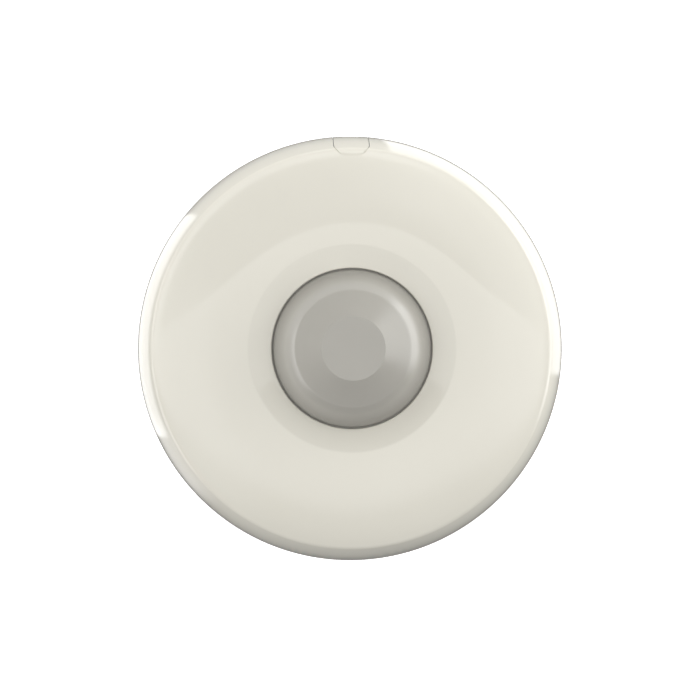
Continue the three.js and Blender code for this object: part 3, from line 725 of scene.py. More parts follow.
def mounting_base():
    _, high, _ = box_mm("mounting_base")
    inner, top = high.x - 1.8, high.z
    base = tray()
    for degrees in SLOT_BEARINGS:  # thickened pads round the screw slots
        pad = prism(bmesh.new(), slot_outline(3.2, degrees), FLOOR - SINK, FLOOR + 0.8)
        hole = prism(bmesh.new(), slot_outline(SLOT_HALF_WIDTH, degrees), FLOOR - PAST, FLOOR + 2)
        append(base, cut(pad, hole))
    collar = prism(bmesh.new(), entry_outline(1), FLOOR - SINK, FLOOR + 0.9)
    append(base, cut(collar, prism(bmesh.new(), entry_outline(), FLOOR - PAST, FLOOR + 2)))
    board = box_mm("circuit_board")[0].z - GAP
    pillar = [(1.1, FLOOR - SINK), (3.6, FLOOR - SINK), (3.35, FLOOR + 0.4), (3.2, board - 0.2)]
    pillar += [(3, board), (1.1, board)]
    for node in SCREW_NODES:
        lathe(base, pillar, 48, middle_mm(node).xy)
    for side in (-1, 1):  # guides beside the catch, a hair lower than the rim
        near, far = sorted((side * 6.25, side * 7.4))
        block(base, (near, 43.7, FLOOR - SINK), (far, 49.0, top - 0.05), 0.2)
    gusset = [(inner + 0.3, FLOOR - 0.2), (inner + 0.3, top - 0.8), (inner - 0.3, top - 0.8)]
    gusset.append((inner - 3.2, FLOOR - 0.2))
    for degrees in (60, 120, 200, 240, 300, 340):
        prism(base, gusset, -0.5, 0.5, turned(degrees) @ STANDING)
    return piece("base_moulding", base, BASE, "base", ["mounting_base"], 30)


mounting_base()


# ---- Circuit board ------------------------------------------------------------------------------
board_low, board_high, _ = box_mm("circuit_board")
BOARD_RADIUS = board_high.y
BOARD_TOP = board_high.z
TRACK_FOOT = BOARD_TOP - 0.01
TRACK_TOP = BOARD_TOP + 0.03
VIA_TOP = BOARD_TOP + 0.045
PRINT_TOP = BOARD_TOP + 0.048
PAD_TOP = BOARD_TOP + 0.06


def circuit_board():
    chord = math.degrees(math.asin(board_low.y / BOARD_RADIUS))  # the edge beside the cable is straight
    steps = 150
    outline = [tuple(polar(BOARD_RADIUS, chord + (180 - 2 * chord) * i / steps)) for i in range(steps + 1)]
    panel = prism(bmesh.new(), outline, board_low.z, BOARD_TOP)
    holes = bmesh.new()
    for node in SCREW_NODES:
        drum(holes, 1.6, 4, 8, 40, middle_mm(node).xy)
    made = piece("board_panel", cut(panel, holes), MASK, "base", ["circuit_board"], 30)
    made.data.materials.append(GLASS_FIBRE)
    for face in made.data.polygons:
        if abs(face.normal.z) < 0.5:
            face.material_index = 1


def strip(bm, path, width, low, high):
    """A flat track along a path of (x, y) corners, with mitred bends."""
    path = [Vector(point) for point in path]
    left, right = [], []
    for i, point in enumerate(path):
        before = (point - path[i - 1]).normalized() if i else None
        after = (path[i + 1] - point).normalized() if i + 1 < len(path) else None
        along = ((before or after) + (after or before)).normalized()
        reach = width / 2 / max(0.5, along.dot(after or before))
        across = Vector((-along.y, along.x)) * reach
        left.append(point + across)
        right.append(point - across)
    outline = [tuple(point) for point in right + left[::-1]]
    return prism(bm, outline, low, high)


def elbow(start, end):
    """A track route with one 45 degree stretch in the middle of its longer side."""
    start, end = Vector(start), Vector(end)
    dx, dy = end.x - start.x, end.y - start.y
    diagonal = min(abs(dx), abs(dy))
    step = Vector((math.copysign(diagonal, dx), math.copysign(diagonal, dy)))
    rest = Vector((dx, dy)) - step
    middle = start + rest / 2
    route = [start]
    for corner in (middle, middle + step, end):
        if (corner - route[-1]).length > 0.2:
            route.append(corner)
    return route


WAYS = 6
terminals = [middle_mm(f"terminal_screw_{i + 1}") for i in range(WAYS)]
CHIPS = ("microcontroller", "amplifier_chip")
CHIP_LEGS, CHIP_PITCH = 7, 1.27
relay_low, relay_high, relay_middle = box_mm("alarm_relay")
dip_low, dip_high, dip_middle = box_mm("option_switch_housing")
trim_low, trim_high, trim_middle = box_mm("range_trimmer_base")
tamper_low, tamper_high, tamper_middle = box_mm("tamper_switch")
REGULATOR = (27, -10.5)


def leg_places(chip):
    """Where a chip's legs meet the board, one row after the other."""
    middle = middle_mm(chip)
    rows = []
    for side in (-1, 1):
        first = middle.x - (CHIP_LEGS - 1) / 2 * CHIP_PITCH
        rows.append([(first + i * CHIP_PITCH, middle.y + side * 2.75) for i in range(CHIP_LEGS)])
    return rows


# Where the tracks from the chips' rear legs end, and the wide supply tracks
MICRO_ENDS = [(-25.5, -3.8), (-23, -3), (-21, 0.5), (-18.4, 17.0), (-15.5, 17.0), (-12.8, 17.0), (-6.0, -3.0)]
AMP_ENDS = [(4.8, -3.6), (7.4, 5.2), (9.6, 0.5), (12.6, 20.0), (17.2, 20.0), (20.5, -2.5), (24.3, -3.9)]
SUPPLY = [((27, -13), (12, -21)), ((29, 12), (20, 22)), ((-28, 10), (-21, 17)), ((5, 3), (7.2, 6))]
GROUND = [(36.6, 100, 203), (36.6, -23, 80), (35.4, 105, 160), (35.4, 20, 75)]  # radius and bearings


def track_routes():
    """Every track as its corners and its width."""
    micro_front, micro_back = leg_places("microcontroller")
    amp_front, amp_back = leg_places("amplifier_chip")
    routes = []
    for i, terminal in enumerate(terminals):
        source = micro_front[i + 1] if i < WAYS // 2 else amp_front[i - 1]
        routes.append((elbow((terminal.x, -21.0), source), 0.5))
    for leg, end in zip(micro_back + amp_back, MICRO_ENDS + AMP_ENDS):
        routes.append((elbow(leg, end), 0.3))
    for start, end in SUPPLY:
        routes.append((elbow(start, end), 0.9))
    return routes


def ring_segment(centre, inner, outer, start, end, steps):
    """Part of a flat ring between two bearings, as (x, y) points."""
    sweep = end - start
    points = [tuple(centre + polar(outer, start + sweep * i / steps)) for i in range(steps + 1)]
    return points + [tuple(centre + polar(inner, end - sweep * i / steps)) for i in range(steps + 1)]


def tracks():
    copper = bmesh.new()
    for i, (route, width) in enumerate(track_routes()):  # each a hair higher: crossing tracks share no face
        strip(copper, route, width, TRACK_FOOT, TRACK_TOP + 0.0006 * i)
    for radius, start, end in GROUND:
        outline = ring_segment(Vector((0, 0)), radius - 0.35, radius + 0.35, start, end, 40)
        prism(copper, outline, TRACK_FOOT, TRACK_TOP - 0.001)
    return piece("board_tracks", copper, MASK_TRACE, "base")


def vias():
    """Plated holes at the tracks' ends and along the board's edge."""
    rings = bmesh.new()
    places = [tuple(route[-1]) for route, _ in track_routes()]
    places += [tuple(polar(31.5, degrees)) for degrees in range(20, 200, 16)]
    for at in places:
        band(rings, 0.22, 0.5, BOARD_TOP - 0.2, VIA_TOP, 20, at)
    return piece("board_vias", rings, TIN, "base")


def silk_lines():
    """Printed outlines round the components: plain shapes, no lettering."""
    ink = bmesh.new()
    low, high = TRACK_TOP, PRINT_TOP
    width = 0.18
    frames = [(dip_low, dip_high), (trim_low, trim_high), (tamper_low, tamper_high), (relay_low, relay_high)]
    frames.append(box_mm("terminal_block")[:2])
    margin = 0.5
    for first, second in frames:
        x0, y0, x1, y1 = first.x - margin, first.y - margin, second.x + margin, second.y + margin
        corners = [(x0, y0), (x1, y0), (x1, y1), (x0, y1)]
        for start, end in zip(corners, corners[1:] + corners[:1]):
            strip(ink, (start, end), width, low, high)
    for name in ("supply_capacitor", "filter_capacitor", "pyro_sensor_can"):  # a ring and a small cross
        first, second, at = box_mm(name)
        radius = (second.x - first.x) / 2 + 0.45
        band(ink, radius, radius + width, low, high, ROUND, at.xy)
        cross = at.x + radius + 1.05
        strip(ink, ((cross - 0.45, at.y), (cross + 0.45, at.y)), width, low, high)
        strip(ink, ((cross, at.y - 0.45), (cross, at.y + 0.45)), width, low, high)
    for name in CHIPS:  # a dot at the first leg
        corner = box_mm(name)[0]
        drum(ink, 0.3, low, high, 20, (corner.x - 0.8, corner.y + 0.4))
    for at in terminals:
        strip(ink, ((at.x, -20.5), (at.x, -19.7)), width, low, high)
    return piece("board_print", ink, INK, "base")


# Small surface-mount parts: (x, y, angle in degrees, length, kind)
PASSIVES = [
    (-8, -16.5, 0, 2.0, "resistor"), (-4, -16.5, 0, 2.0, "resistor"), (0, -16.5, 0, 2.0, "ceramic"),
    (4, -16.5, 0, 2.0, "resistor"), (8, -16.5, 0, 2.0, "ceramic"), (-5.5, -11, 90, 2.0, "ceramic"),
    (5.5, -11, 90, 2.0, "ceramic"), (-8, -2.5, 0, 1.6, "resistor"), (-11, 1, 90, 1.6, "resistor"),
    (-12.5, 5, 90, 1.6, "ceramic"), (-10, 10.5, 0, 1.6, "resistor"), (-6, 10.5, 0, 1.6, "resistor"),
    (-1.5, 12, 0, 1.6, "ceramic"), (3, 12, 0, 1.6, "resistor"), (11.5, 9.5, 90, 1.6, "resistor"),
    (11.5, 5.5, 90, 1.6, "resistor"), (16, 3, 0, 2.0, "ceramic"), (20, 8, 90, 2.0, "resistor"),
    (20, 14.5, 90, 3.2, "ceramic"), (-2.5, 20, 0, 2.0, "resistor"), (2.5, 20, 0, 2.0, "resistor"),
    (-6, 25, 0, 2.0, "ceramic"), (6, 25, 0, 2.0, "ceramic"), (-27, 14, 45, 2.0, "resistor"),
    (-33, -2, 90, 2.0, "ceramic"), (34.3, 14, 60, 2.0, "resistor"), (21, -20, 0, 3.2, "ceramic"),
    (-20, -20, 0, 3.2, "ceramic"), (-19.5, -16.5, 0, 2.0, "resistor"), (20, -16.5, 0, 2.0, "resistor"),
]
SWAP_YZ = Matrix(((1, 0, 0, 0), (0, 0, 1, 0), (0, 1, 0, 0), (0, 0, 0, 1)))


def part_end(side, length, width, height, low):
    """A small part's metal end cap, with its pad and the solder between them."""
    half_length, half_width = length / 2, width / 2
    near, far = sorted((side * (half_length - 0.38), side * half_length))
    cap = bmesh.new()
    block(cap, (near, -half_width - 0.02, low - 0.01), (far, half_width + 0.02, low + height + 0.02), 0.06)
    near, far = sorted((side * (half_length - 0.3), side * (half_length + 0.35)))
    block(cap, (near, -half_width - 0.1, BOARD_TOP), (far, half_width + 0.1, PAD_TOP), 0.02)
    solder = [(0.0, low), (0.28, low), (0.0, low + height * 0.7)]
    outwards = Matrix.Translation((side * half_length, 0, 0)) @ Matrix.Scale(side, 4, (1, 0, 0))
    return prism(cap, solder, -half_width, half_width, outwards @ SWAP_YZ)


def passives():
    bodies = {"resistor": bmesh.new(), "ceramic": bmesh.new()}
    ends = bmesh.new()
    low = BOARD_TOP + GAP
    for x, y, degrees, length, kind in PASSIVES:
        width, height = length * 0.6, length * (0.27 if kind == "resistor" else 0.5)
        reach, half_width = length / 2 - 0.3, width / 2
        body = block(bmesh.new(), (-reach, -half_width, low), (reach, half_width, low + height), 0.04)
        append(bodies[kind], moved(body, turned(degrees, x, y)))
        for side in (-1, 1):
            append(ends, moved(part_end(side, length, width, height, low), turned(degrees, x, y)))
    piece("chip_resistors", bodies["resistor"], RESISTOR, "base")
    piece("chip_ceramics", bodies["ceramic"], CERAMIC, "base")
    piece("chip_ends", ends, TIN, "base")


LEG_PROFILE = [(1.9, 0.92), (2.3, 0.92), (2.42, 0.8), (2.5, 0.3), (2.6, 0.14), (3.0, 0.1)]  # (reach, rise)


def chips():
    for name in CHIPS:
        low, high, middle = box_mm(name)
        corner = (high.x, middle.y + 1.95, high.z)
        body = block(bmesh.new(), (low.x, middle.y - 1.95, low.z + 0.15), corner, 0.12)
        dimple = [(0, high.z - 0.08), (0.4, high.z - 0.08), (0.45, high.z + PAST), (0, high.z + PAST)]
        body = cut(body, lathe(bmesh.new(), dimple, 32, (low.x + 0.9, middle.y - 1.2)))
        piece(f"{name}_body", body, EPOXY, "base", [name])
        legs = bmesh.new()
        for side, row in zip((-1, 1), leg_places(name)):
            lower = [(middle.y + side * reach, low.z + rise - 0.1) for reach, rise in LEG_PROFILE]
            upper = [(middle.y + side * (reach + 0.08), low.z + rise + 0.08) for reach, rise in LEG_PROFILE]
            pad_y = middle.y + side * 2.85
            for x, _ in row:
                stand = Matrix(((0, 0, 1, x), (1, 0, 0, 0), (0, 1, 0, 0), (0, 0, 0, 1)))
                prism(legs, lower + upper[::-1], -0.2, 0.2, stand)
                post(legs, (x, pad_y), (0.3, 0.55), BOARD_TOP, PAD_TOP, 0.02)
        piece(f"{name}_legs", legs, TIN, "base")


circuit_board()
tracks()
vias()
silk_lines()
passives()
chips()


# ---- Sensor, lamp, relay, capacitors, regulator -------------------------------------------------
def infrared_sensor():
    low, high, _ = box_mm("sensor_spacer")
    outline = [(0, low.z), (4.5, low.z)] + arc((4.5, low.z + 0.2), 0.2, -90, 0, 3)
    outline += arc((4.4, high.z - 0.3), 0.3, 0, 90, 4) + [(0, high.z)]
    piece("sensor_stand", lathe(bmesh.new(), outline, 96), EPOXY, "base", ["sensor_spacer"])
    low, high, _ = box_mm("pyro_sensor_can")
    outline = [(0, low.z), (4.5, low.z), (4.6, low.z + 0.1), (4.6, low.z + 0.3), (4.5, low.z + 0.4)]
    outline += [(4.25, low.z + 0.42)] + arc((4.25, low.z + 0.57), 0.15, -90, -180, 3)
    outline += arc((3.7, high.z - 0.4), 0.4, 0, 90, 6) + [(0, high.z)]
    opening = post(bmesh.new(), (0, 0), (2.1, 1.6), high.z - 0.3, high.z + PAST)
    can = cut(lathe(bmesh.new(), outline, 96), opening)
    tab = block(bmesh.new(), (4.1, -0.45, low.z + 0.02), (5.7, 0.45, low.z + 0.38), 0.08)
    append(can, moved(tab, turned(45)))
    piece("sensor_can", can, NICKEL, "base", ["pyro_sensor_can"])
    window = block(bmesh.new(), *box_mm("pyro_sensor_window")[:2], 0.04)
    piece("sensor_window", window, FILTER, "base", ["pyro_sensor_window"])


def indicator():
    low, high, middle = box_mm("indicator_led")
    dome = 1.5
    outline = [(0, low.z), (1.8, low.z), (1.9, low.z + 0.1), (1.9, low.z + 0.7), (1.8, low.z + 0.8)]
    outline += [(dome, low.z + 0.82)] + arc((0, high.z - dome), dome, 0, 90, 14)
    body = lathe(bmesh.new(), outline, 48, middle.xy)
    piece("led_lens", body, LED, "base", ["indicator_led"])
    leads = bmesh.new()
    for near, far, height in ((-0.9, -0.1, 2.4), (0.15, 0.7, 2.6)):
        corner = (middle.x + near, middle.y - 0.2, low.z + 0.3)
        block(leads, corner, (middle.x + far, middle.y + 0.2, low.z + height), 0.05)
    piece("led_frame", leads, TIN, "base")


def relay():
    low, high = relay_low, relay_high
    case = block(bmesh.new(), low, (high.x, high.y, low.z + 8.8), 0.45, 4)
    depth = 0.12  # of the groove round the foot
    corner = (high.x + PAST, high.y + PAST, low.z + 1.05)
    groove = block(bmesh.new(), (low.x - PAST, low.y - PAST, low.z + 0.9), corner)
    corner = (high.x - depth, high.y - depth, low.z + 3)
    core = block(bmesh.new(), (low.x + depth, low.y + depth, low.z), corner)
    case = cut(case, cut(groove, core))
    vent = [(0, low.z + 8.5), (0.5, low.z + 8.5), (0.5, high.z - 0.05), (0.42, high.z), (0, high.z)]
    lathe(case, vent, 24, (relay_middle.x - 2, relay_middle.y + 5.6))
    piece("relay_case", case, RELAY, "base", ["alarm_relay"])


def capacitor(name):
    low, high, middle = box_mm(name)
    radius, top = (high.x - low.x) / 2, high.z
    outline = [(0, low.z), (radius - 0.2, low.z)] + arc((radius - 0.2, low.z + 0.2), 0.2, -90, 0, 3)
    for i in range(9):  # the crimp
        share = i / 8
        outline.append((radius - 0.3 * math.sin(math.pi * share), low.z + 0.8 + 0.9 * share))
    outline += arc((radius - 0.4, top - 0.4), 0.4, 0, 75, 6)
    outline += [(radius - 0.75, top - 0.02), (radius - 0.8, top - 0.12), (0, top - 0.12)]
    sleeve = lathe(bmesh.new(), outline, 96, middle.xy)
    piece(f"{name}_sleeve", sleeve, SLEEVE, "base", [name])
    outline = [(0, top - 0.2), (radius - 0.82, top - 0.2), (radius - 0.85, top - 0.06), (0, top - 0.05)]
    lid = lathe(bmesh.new(), outline, ROUND, middle.xy)
    scores = None  # the pressed lines that cross on the lid
    for degrees in (0, 60, 120):
        score = post(bmesh.new(), (0, 0), (radius - 1.2, 0.08), top - 0.12, top + PAST)
        moved(score, turned(degrees, middle.x, middle.y))
        scores = score if scores is None else combine(scores, score, "UNION")
    piece(f"{name}_lid", cut(lid, scores), ALUMINIUM, "base")
    outline = ring_segment(middle.xy, radius - 0.1, radius + 0.015, 200, 250, 12)
    stripe = prism(bmesh.new(), outline, low.z + 1.8, top - 0.5)
    piece(f"{name}_stripe", stripe, SLEEVE_STRIPE, "base")


def regulator():
    low, high, _ = box_mm("voltage_regulator")
    x, y = REGULATOR
    steps = 40
    outline = [tuple(Vector(REGULATOR) + polar(2.3, -36 + 252 * i / steps)) for i in range(steps + 1)]
    body = prism(bmesh.new(), outline, low.z + 1.6, high.z)
    edges = [edge for edge in body.edges if edge.calc_face_angle(0) > 0.5]
    round_edges(body, edges, 0.12)
    piece("regulator_body", body, EPOXY, "base", ["voltage_regulator"])
    legs = bmesh.new()
    solder = [(0, BOARD_TOP), (0.55, BOARD_TOP), (0.5, BOARD_TOP + 0.08), (0.25, BOARD_TOP + 0.4)]
    solder.append((0, BOARD_TOP + 0.4))
    for leg in (x - 1.27, x, x + 1.27):
        post(legs, (leg, y), (0.2, 0.2), low.z, low.z + 1.9, 0.03)
        lathe(legs, solder, 20, (leg, y))
    piece("regulator_legs", legs, TIN, "base")


infrared_sensor()
indicator()
relay()
capacitor("supply_capacitor")
capacitor("filter_capacitor")
regulator()


# ---- Terminal block ------------------------------------------------------------------------------
def terminal_housing():
    low, high, _ = box_mm("terminal_block")
    made = block(bmesh.new(), low, high, 0.25, 3)
    mouths, shafts = bmesh.new(), bmesh.new()
    shaft = [(0, low.z + 4.5), (1.35, low.z + 4.5), (1.35, high.z - 0.3), (1.6, high.z + 0.2)]
    shaft += [(1.6, high.z + PAST), (0, high.z + PAST)]
    for at in terminals:
        corner = (at.x - 1.35, low.y - PAST, low.z + 0.6)
        block(mouths, corner, (at.x + 1.35, low.y + 5.2, low.z + 5))
        lathe(shafts, shaft, 40, at.xy)
    fronts, tops = bmesh.new(), bmesh.new()  # the moulding's grooves between ways
    for first, second in zip(terminals, terminals[1:]):
        x = (first.x + second.x) / 2
        block(fronts, (x - 0.1, low.y - PAST, low.z + 5.3), (x + 0.1, low.y + 0.2, high.z + PAST))
        block(tops, (x - 0.12, low.y - PAST, high.z - 0.2), (x + 0.12, high.y + PAST, high.z + 2))
    for tool in (mouths, shafts, fronts, tops):
        made = cut(made, tool)
    return piece("terminal_housing", made, GREEN, "base", ["terminal_block"])


def clamp(number, at):
    """One way's screw and the brass cage that it lifts."""
    node = f"terminal_screw_{number}"
    low, high, _ = box_mm(node)
    top, neck = high.z, low.z + 3.2
    outline = [(0, low.z), (0.5, low.z)]
    for crest in range(7):  # the thread
        z = low.z + 0.1 + crest * 0.45
        outline += [(0.52, z), (0.6, z + 0.2)]
    outline += [(0.6, neck), (1.1, neck), (1.2, neck + 0.1), (1.2, top - 0.15), (1.05, top), (0, top)]
    slot = post(bmesh.new(), at.xy, (2, 0.25), top - 0.7, top + PAST)
    screw = cut(lathe(bmesh.new(), outline, 48, at.xy), slot)
    piece(f"clamp_screw_{number}_head", screw, ZINC, f"clamp_screw_{number}", [node])
    node = f"terminal_cage_{number}"
    low, high, _ = box_mm(node)
    wall = 0.35
    corner = (low.x + wall, low.y - PAST, low.z + wall)
    passage = block(bmesh.new(), corner, (high.x - wall, high.y + PAST, high.z - 0.9))
    cage = cut(block(bmesh.new(), low, high, 0.12), passage)
    cage = cut(cage, drum(bmesh.new(), 0.72, high.z - 1.5, high.z + PAST, 32, at.xy))
    piece(f"clamp_cage_{number}_frame", cage, BRASS, f"clamp_cage_{number}", [node])


terminal_housing()
for way, terminal in enumerate(terminals):
    clamp(way + 1, terminal)


# ---- Tamper switch, option switches, trimmer, board screws ---------------------------------------
def tamper_switch():
    low, high, middle = tamper_low, tamper_high, tamper_middle
    bore = drum(bmesh.new(), 1.6, low.z + 1, high.z + PAST, 48, middle.xy)
    body = cut(block(bmesh.new(), low, high, 0.35, 3), bore)
    piece("tamper_body", body, EPOXY, "base", ["tamper_switch"])
    rivets = bmesh.new()
    outline = [(0, high.z - 0.1), (0.45, high.z - 0.1), (0.45, high.z + 0.02), (0.3, high.z + 0.05)]
    outline.append((0, high.z + 0.05))
    for dx in (-2.45, 2.45):
        for dy in (-2.45, 2.45):
            lathe(rivets, outline, 24, (middle.x + dx, middle.y + dy))
    piece("tamper_rivets", rivets, TIN, "base")
    low, high, _ = box_mm("tamper_plunger")
    top, under = high.z, high.z - 0.9
    outline = [(0, low.z), (1.2, low.z), (1.3, low.z + 0.1), (1.3, under), (2.2, under), (2.3, under + 0.1)]
    outline += arc((1.9, top - 0.4), 0.4, 0, 90, 6) + [(0, top)]
    cap = lathe(bmesh.new(), outline, ROUND, middle.xy)
    piece("tamper_cap", cap, NYLON, "tamper_button", ["tamper_plunger"])
    tamper_spring(middle)


def tamper_spring(middle):
    """The coil between the body and the cap, built at one length and carried by no body."""
    low, high, _ = box_mm("tamper_spring")
    wire, radius, turns = 0.17, 1.85, 3.5
    start, end = low.z + wire, high.z - wire
    steps = int(turns * 36)
    path = []
    for i in range(steps + 1):
        share = i / steps
        angle = 2 * math.pi * turns * share
        x, y = radius * math.cos(angle), radius * math.sin(angle)
        path.append((middle.x + x, middle.y + y, start + (end - start) * share))
    coil = tube(bmesh.new(), path, wire, 12)
    spring = piece("tamper_coil", coil, SPRING, None, ["tamper_spring"])
    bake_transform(spring)


def option_switch():
    top = dip_high.z
    sliders = [f"option_slider_{i}" for i in (1, 2, 3)]
    pockets = bmesh.new()
    for node in sliders:
        post(pockets, (middle_mm(node).x, dip_middle.y), (0.75, 1.6), top - 1.2, top + PAST)
    housing = cut(block(bmesh.new(), dip_low, dip_high, 0.2, 2), pockets)
    piece("option_housing", housing, RED, "base", ["option_switch_housing"])
    marks = bmesh.new()
    for i, node in enumerate(sliders):
        low, high, middle = box_mm(node)
        knob = block(bmesh.new(), low, high, 0.12, 2)
        piece(f"option_knob_{i + 1}", knob, NYLON, f"slider_{i + 1}", [node])
        for tick in range(i + 1):  # one tick at the first switch, two at the next, then three
            x = middle.x + 0.3 * (tick - i / 2)
            post(marks, (x, dip_low.y + 0.75), (0.06, 0.25), top - 0.01, top + 0.015)
    piece("option_ticks", marks, INK, "base")


def range_trimmer():
    top = trim_high.z
    well = drum(bmesh.new(), 2.3, top - 1.2, top + PAST, ROUND, trim_middle.xy)
    body = cut(block(bmesh.new(), trim_low, trim_high, 0.3, 3), well)
    piece("trimmer_body", body, BLUE, "base", ["range_trimmer_base"])
    low, high, at = box_mm("range_trimmer_rotor")
    outline = [(0, low.z), (2.1, low.z), (2.15, low.z + 0.05)] + arc((2.05, high.z - 0.1), 0.1, 0, 90, 3)
    outline.append((0, high.z))
    under, over = high.z - 0.5, high.z + PAST
    arrow = post(bmesh.new(), at.xy, (1.4, 0.3), under, over)
    crossbar = post(bmesh.new(), (at.x + 0.9, at.y), (0.3, 0.8), under, over)
    rotor = cut(lathe(bmesh.new(), outline, ROUND, at.xy), combine(arrow, crossbar, "UNION"))
    piece("trimmer_rotor", rotor, NYLON, "trimmer", ["range_trimmer_rotor"])
    marks = bmesh.new()
    for degrees in range(-135, 136, 27):
        tick = block(bmesh.new(), (2.45, -0.05, top - 0.01), (2.8, 0.05, top + 0.015))
        append(marks, moved(tick, turned(degrees, trim_middle.x, trim_middle.y)))
    piece("trimmer_scale", marks, INK, "base")


def board_screw(node):
    low, high, at = box_mm(node)
    seat = BOARD_TOP + GAP  # the underside of the head
    outline = [(0, low.z), (0.25, low.z + 0.05)]
    z = low.z + 0.5
    while z < seat - 0.6:
        outline += [(0.72, z), (0.9, z + 0.22)]
        z += 0.5
    outline += [(0.8, seat), (2.5, seat), (2.6, seat + 0.1), (2.6, seat + 0.5)]
    for degrees in range(10, 90, 10):
        angle = math.radians(degrees)
        outline.append((2.6 * math.cos(angle), seat + 0.5 + 1.1 * math.sin(angle)))
    outline.append((0, high.z))
    under, over = seat + 0.8, seat + 3
    cross = post(bmesh.new(), at.xy, (1.5, 0.3), under, over)
    bar = post(bmesh.new(), at.xy, (0.3, 1.5), under, over)
    screw = cut(lathe(bmesh.new(), outline, ROUND, at.xy), combine(cross, bar, "UNION"))
    piece(f"{node}_fine", screw, ZINC, "base", [node])


tamper_switch()
option_switch()
range_trimmer()
for screw_node in SCREW_NODES:
    board_screw(screw_node)


# ---- Studio ---------------------------------------------------------------------------------------
# Bearing, half width and edge softness in degrees; lowest and highest rise and their softness; brightness.
PANELS = [
    (25, 55, 20, 34, 74, 6, 0.95),
    (195, 40, 18, 36, 76, 6, 1.0),
    (125, 60, 20, 28, 40, 5, 2.5),
    (15, 32, 12, -20, 21, 8, 4.9),
    (190, 31, 12, -7, 10, 6, 3.9),
    (100, 65, 15, -30, 6, 6, 1.5),
    (35, 42, 1, -72, -36, 4, 1.45),
    (172.3, 34.3, 1, -76, -46, 3, 1.75),
    (215, 12, 6, -70, -30, 6, 0.75),
    (105, 50, 12, -72, -45, 8, 0.28),
    (240, 58, 15, 2, 18, 6, 0.78),
]
OVERHEAD_LEVEL = 1.45  # brightness of the panel above the lens
WING_SHARE = 0.72  # of that brightness, in the panel's parts to the left and right
BELL_HEIGHT, BELL_CURVE, BELL_SHIFT = 0.034, 9.0, -0.45  # the swelling in the panel's far edge
DIM_BELOW, DIM_AROUND, DIM_BEHIND = 0.175, 0.325, 0.13  # the room's walls, and what is added towards +Y
ROOM_LEVEL = 0.94  # the whole studio, dimmed to the exposure of the photograph
FLOOR_GLOW = 0.72


class Sky(Graph):
    """The world's node tree, with the direction of a ray as angles and slopes."""

    def __init__(self):
        world = bpy.data.worlds.new("studio")
        bpy.context.scene.world = world
        world.use_nodes = True
        super().__init__(world.node_tree)
        self.nodes.clear()
        axes = self.add("SeparateXYZ", {"Vector": self.add("TexCoord")["Generated"]})
        self.x, self.y, height = (axes[name] for name in "XYZ")
        squares = [self.math("MULTIPLY", axis, axis) for axis in (self.x, self.y)]
        self.level = self.math("MAXIMUM", self.math("SQRT", self.math("ADD", *squares)), 0.0001)
        self.rise = self.degrees("ARCTAN2", height, self.level)  # above the horizon
        upward = self.math("MAXIMUM", height, 0.001)
        self.aside = self.math("DIVIDE", self.x, upward)
        self.behind = self.math("DIVIDE", self.y, upward)

    def degrees(self, operation, *values):
        return self.math("MULTIPLY", self.math(operation, *values), 180 / math.pi)

    def step(self, value, start, end, low=0.0, high=1.0):
        """Goes smoothly from low to high as value goes from start to end."""
        return self.ramp(value, start, end, low, high, "SMOOTHSTEP")

    def window(self, value, low, high, soft):
        """1 between low and high, falling to 0 outside over a soft edge."""
        rise = self.step(value, low - soft, low + soft)
        fall = self.step(value, high - soft, high + soft, 1.0, 0.0)
        return self.math("MULTIPLY", rise, fall)

    def across(self, bearing, half_width, soft):
        """1 within half_width degrees of a bearing, which is 0 towards +X and 90 towards +Y."""
        angle = math.radians(bearing)
        sideways = self.math("MULTIPLY", self.x, math.cos(angle))
        along = self.math("MULTIPLY_ADD", self.y, math.sin(angle), sideways)
        cosine = self.math("MAXIMUM", self.math("DIVIDE", along, self.level), -1.0)
        away = self.degrees("ARCCOSINE", self.math("MINIMUM", cosine, 1.0))
        return self.step(away, half_width - soft, half_width + soft, 1.0, 0.0)


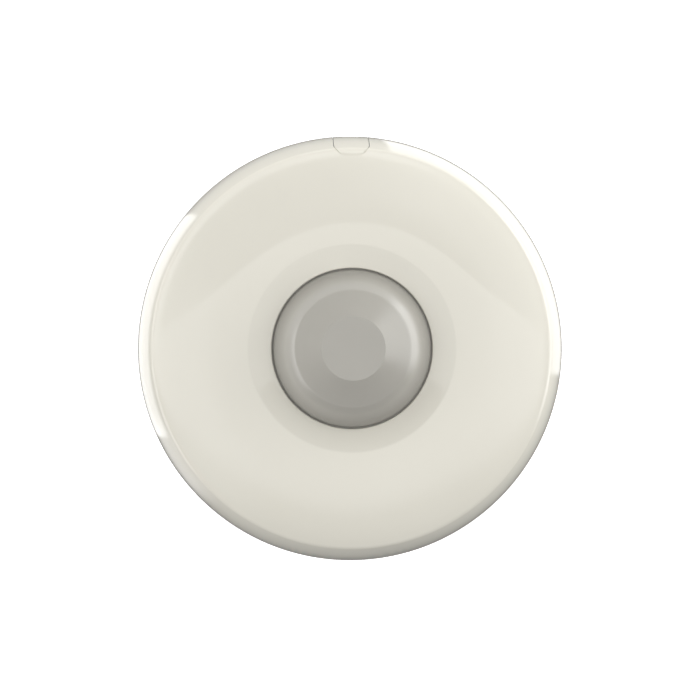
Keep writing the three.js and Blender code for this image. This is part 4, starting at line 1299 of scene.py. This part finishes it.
def studio():
    """A dim room with soft panels round the object, each at a compass bearing and a height."""
    sky = Sky()
    walls = sky.step(sky.rise, -70, -50, DIM_BELOW, DIM_AROUND)
    room = sky.math("ADD", walls, sky.step(sky.y, -0.5, 0.4, 0.0, DIM_BEHIND))
    bow = sky.math("MULTIPLY_ADD", sky.aside, BELL_CURVE, BELL_SHIFT)
    bell = sky.math("DIVIDE", BELL_HEIGHT, sky.math("MULTIPLY_ADD", bow, bow, 1.0))
    past_edge = sky.math("SUBTRACT", sky.behind, bell)
    wings = sky.math("MULTIPLY", sky.step(sky.behind, -0.48, -0.24), sky.step(sky.rise, 32, 44))
    shape = sky.math("MAXIMUM", sky.step(sky.rise, 62, 76), sky.math("MULTIPLY", wings, WING_SHARE))
    overhead = sky.math("MULTIPLY", sky.step(past_edge, 0.093, 0.099, 1.0, 0.0), shape)
    total = sky.math("MULTIPLY_ADD", overhead, OVERHEAD_LEVEL, room)
    for bearing, half_width, softness, low, high, fade, brightness in PANELS:
        beside = sky.across(bearing, half_width, softness)
        lit = sky.math("MULTIPLY", beside, sky.window(sky.rise, low, high, fade))
        total = sky.math("MULTIPLY_ADD", lit, brightness, total)
    light = sky.add("Background", {"Strength": sky.math("MULTIPLY", total, ROOM_LEVEL)})["Background"]
    plain = sky.add("Background", {"Color": (1, 1, 1, 1)})["Background"]
    to_camera = sky.add("LightPath")["Is Camera Ray"]
    shown = sky.add("MixShader", {"Fac": to_camera, 1: light, 2: plain})["Shader"]
    sky.add("OutputWorld", {"Surface": shown})


def floor():
    """A plain white sweep. It bounces no light, so the studio alone shapes the object's sides."""
    bm = bmesh.new()
    bmesh.ops.create_grid(bm, x_segments=1, y_segments=1, size=1.5)
    mesh = bpy.data.meshes.new("floor")
    bm.to_mesh(mesh)
    bm.free()
    made = bpy.data.objects.new("floor", mesh)
    made.location.z = cad_low.z - 0.2 * MM
    look = Look("floor_white", (0.9, 0.9, 0.9), 0.9).mottle(60.0, 0.995, 1.0)
    look.surface["Emission Color"].default_value = (1, 1, 1, 1)
    look.surface["Emission Strength"].default_value = FLOOR_GLOW
    mesh.materials.append(look.material)
    bpy.context.scene.collection.objects.link(made)
    made.visible_glossy = False
    made.visible_diffuse = False
    made.visible_transmission = False


def camera():
    """Straight down on the lens, a little to the left of the axis."""
    data = bpy.data.cameras.new("camera")
    data.lens = 205.3
    data.sensor_width = 36
    made = bpy.data.objects.new("camera", data)
    bpy.context.scene.collection.objects.link(made)
    aim = Vector((-0.00015, -0.0004, 0.007))
    made.location = aim + Vector((-0.026, 0.002, 0.993))
    back = (made.location - aim).normalized()
    right = Vector((0, 1, 0)).cross(back).normalized()
    turn = Matrix((right, back.cross(right), back)).transposed()
    made.rotation_euler = turn.to_euler()
    bpy.context.scene.camera = made


studio()
floor()
camera()
bpy.context.scene.view_settings.view_transform = "Standard"
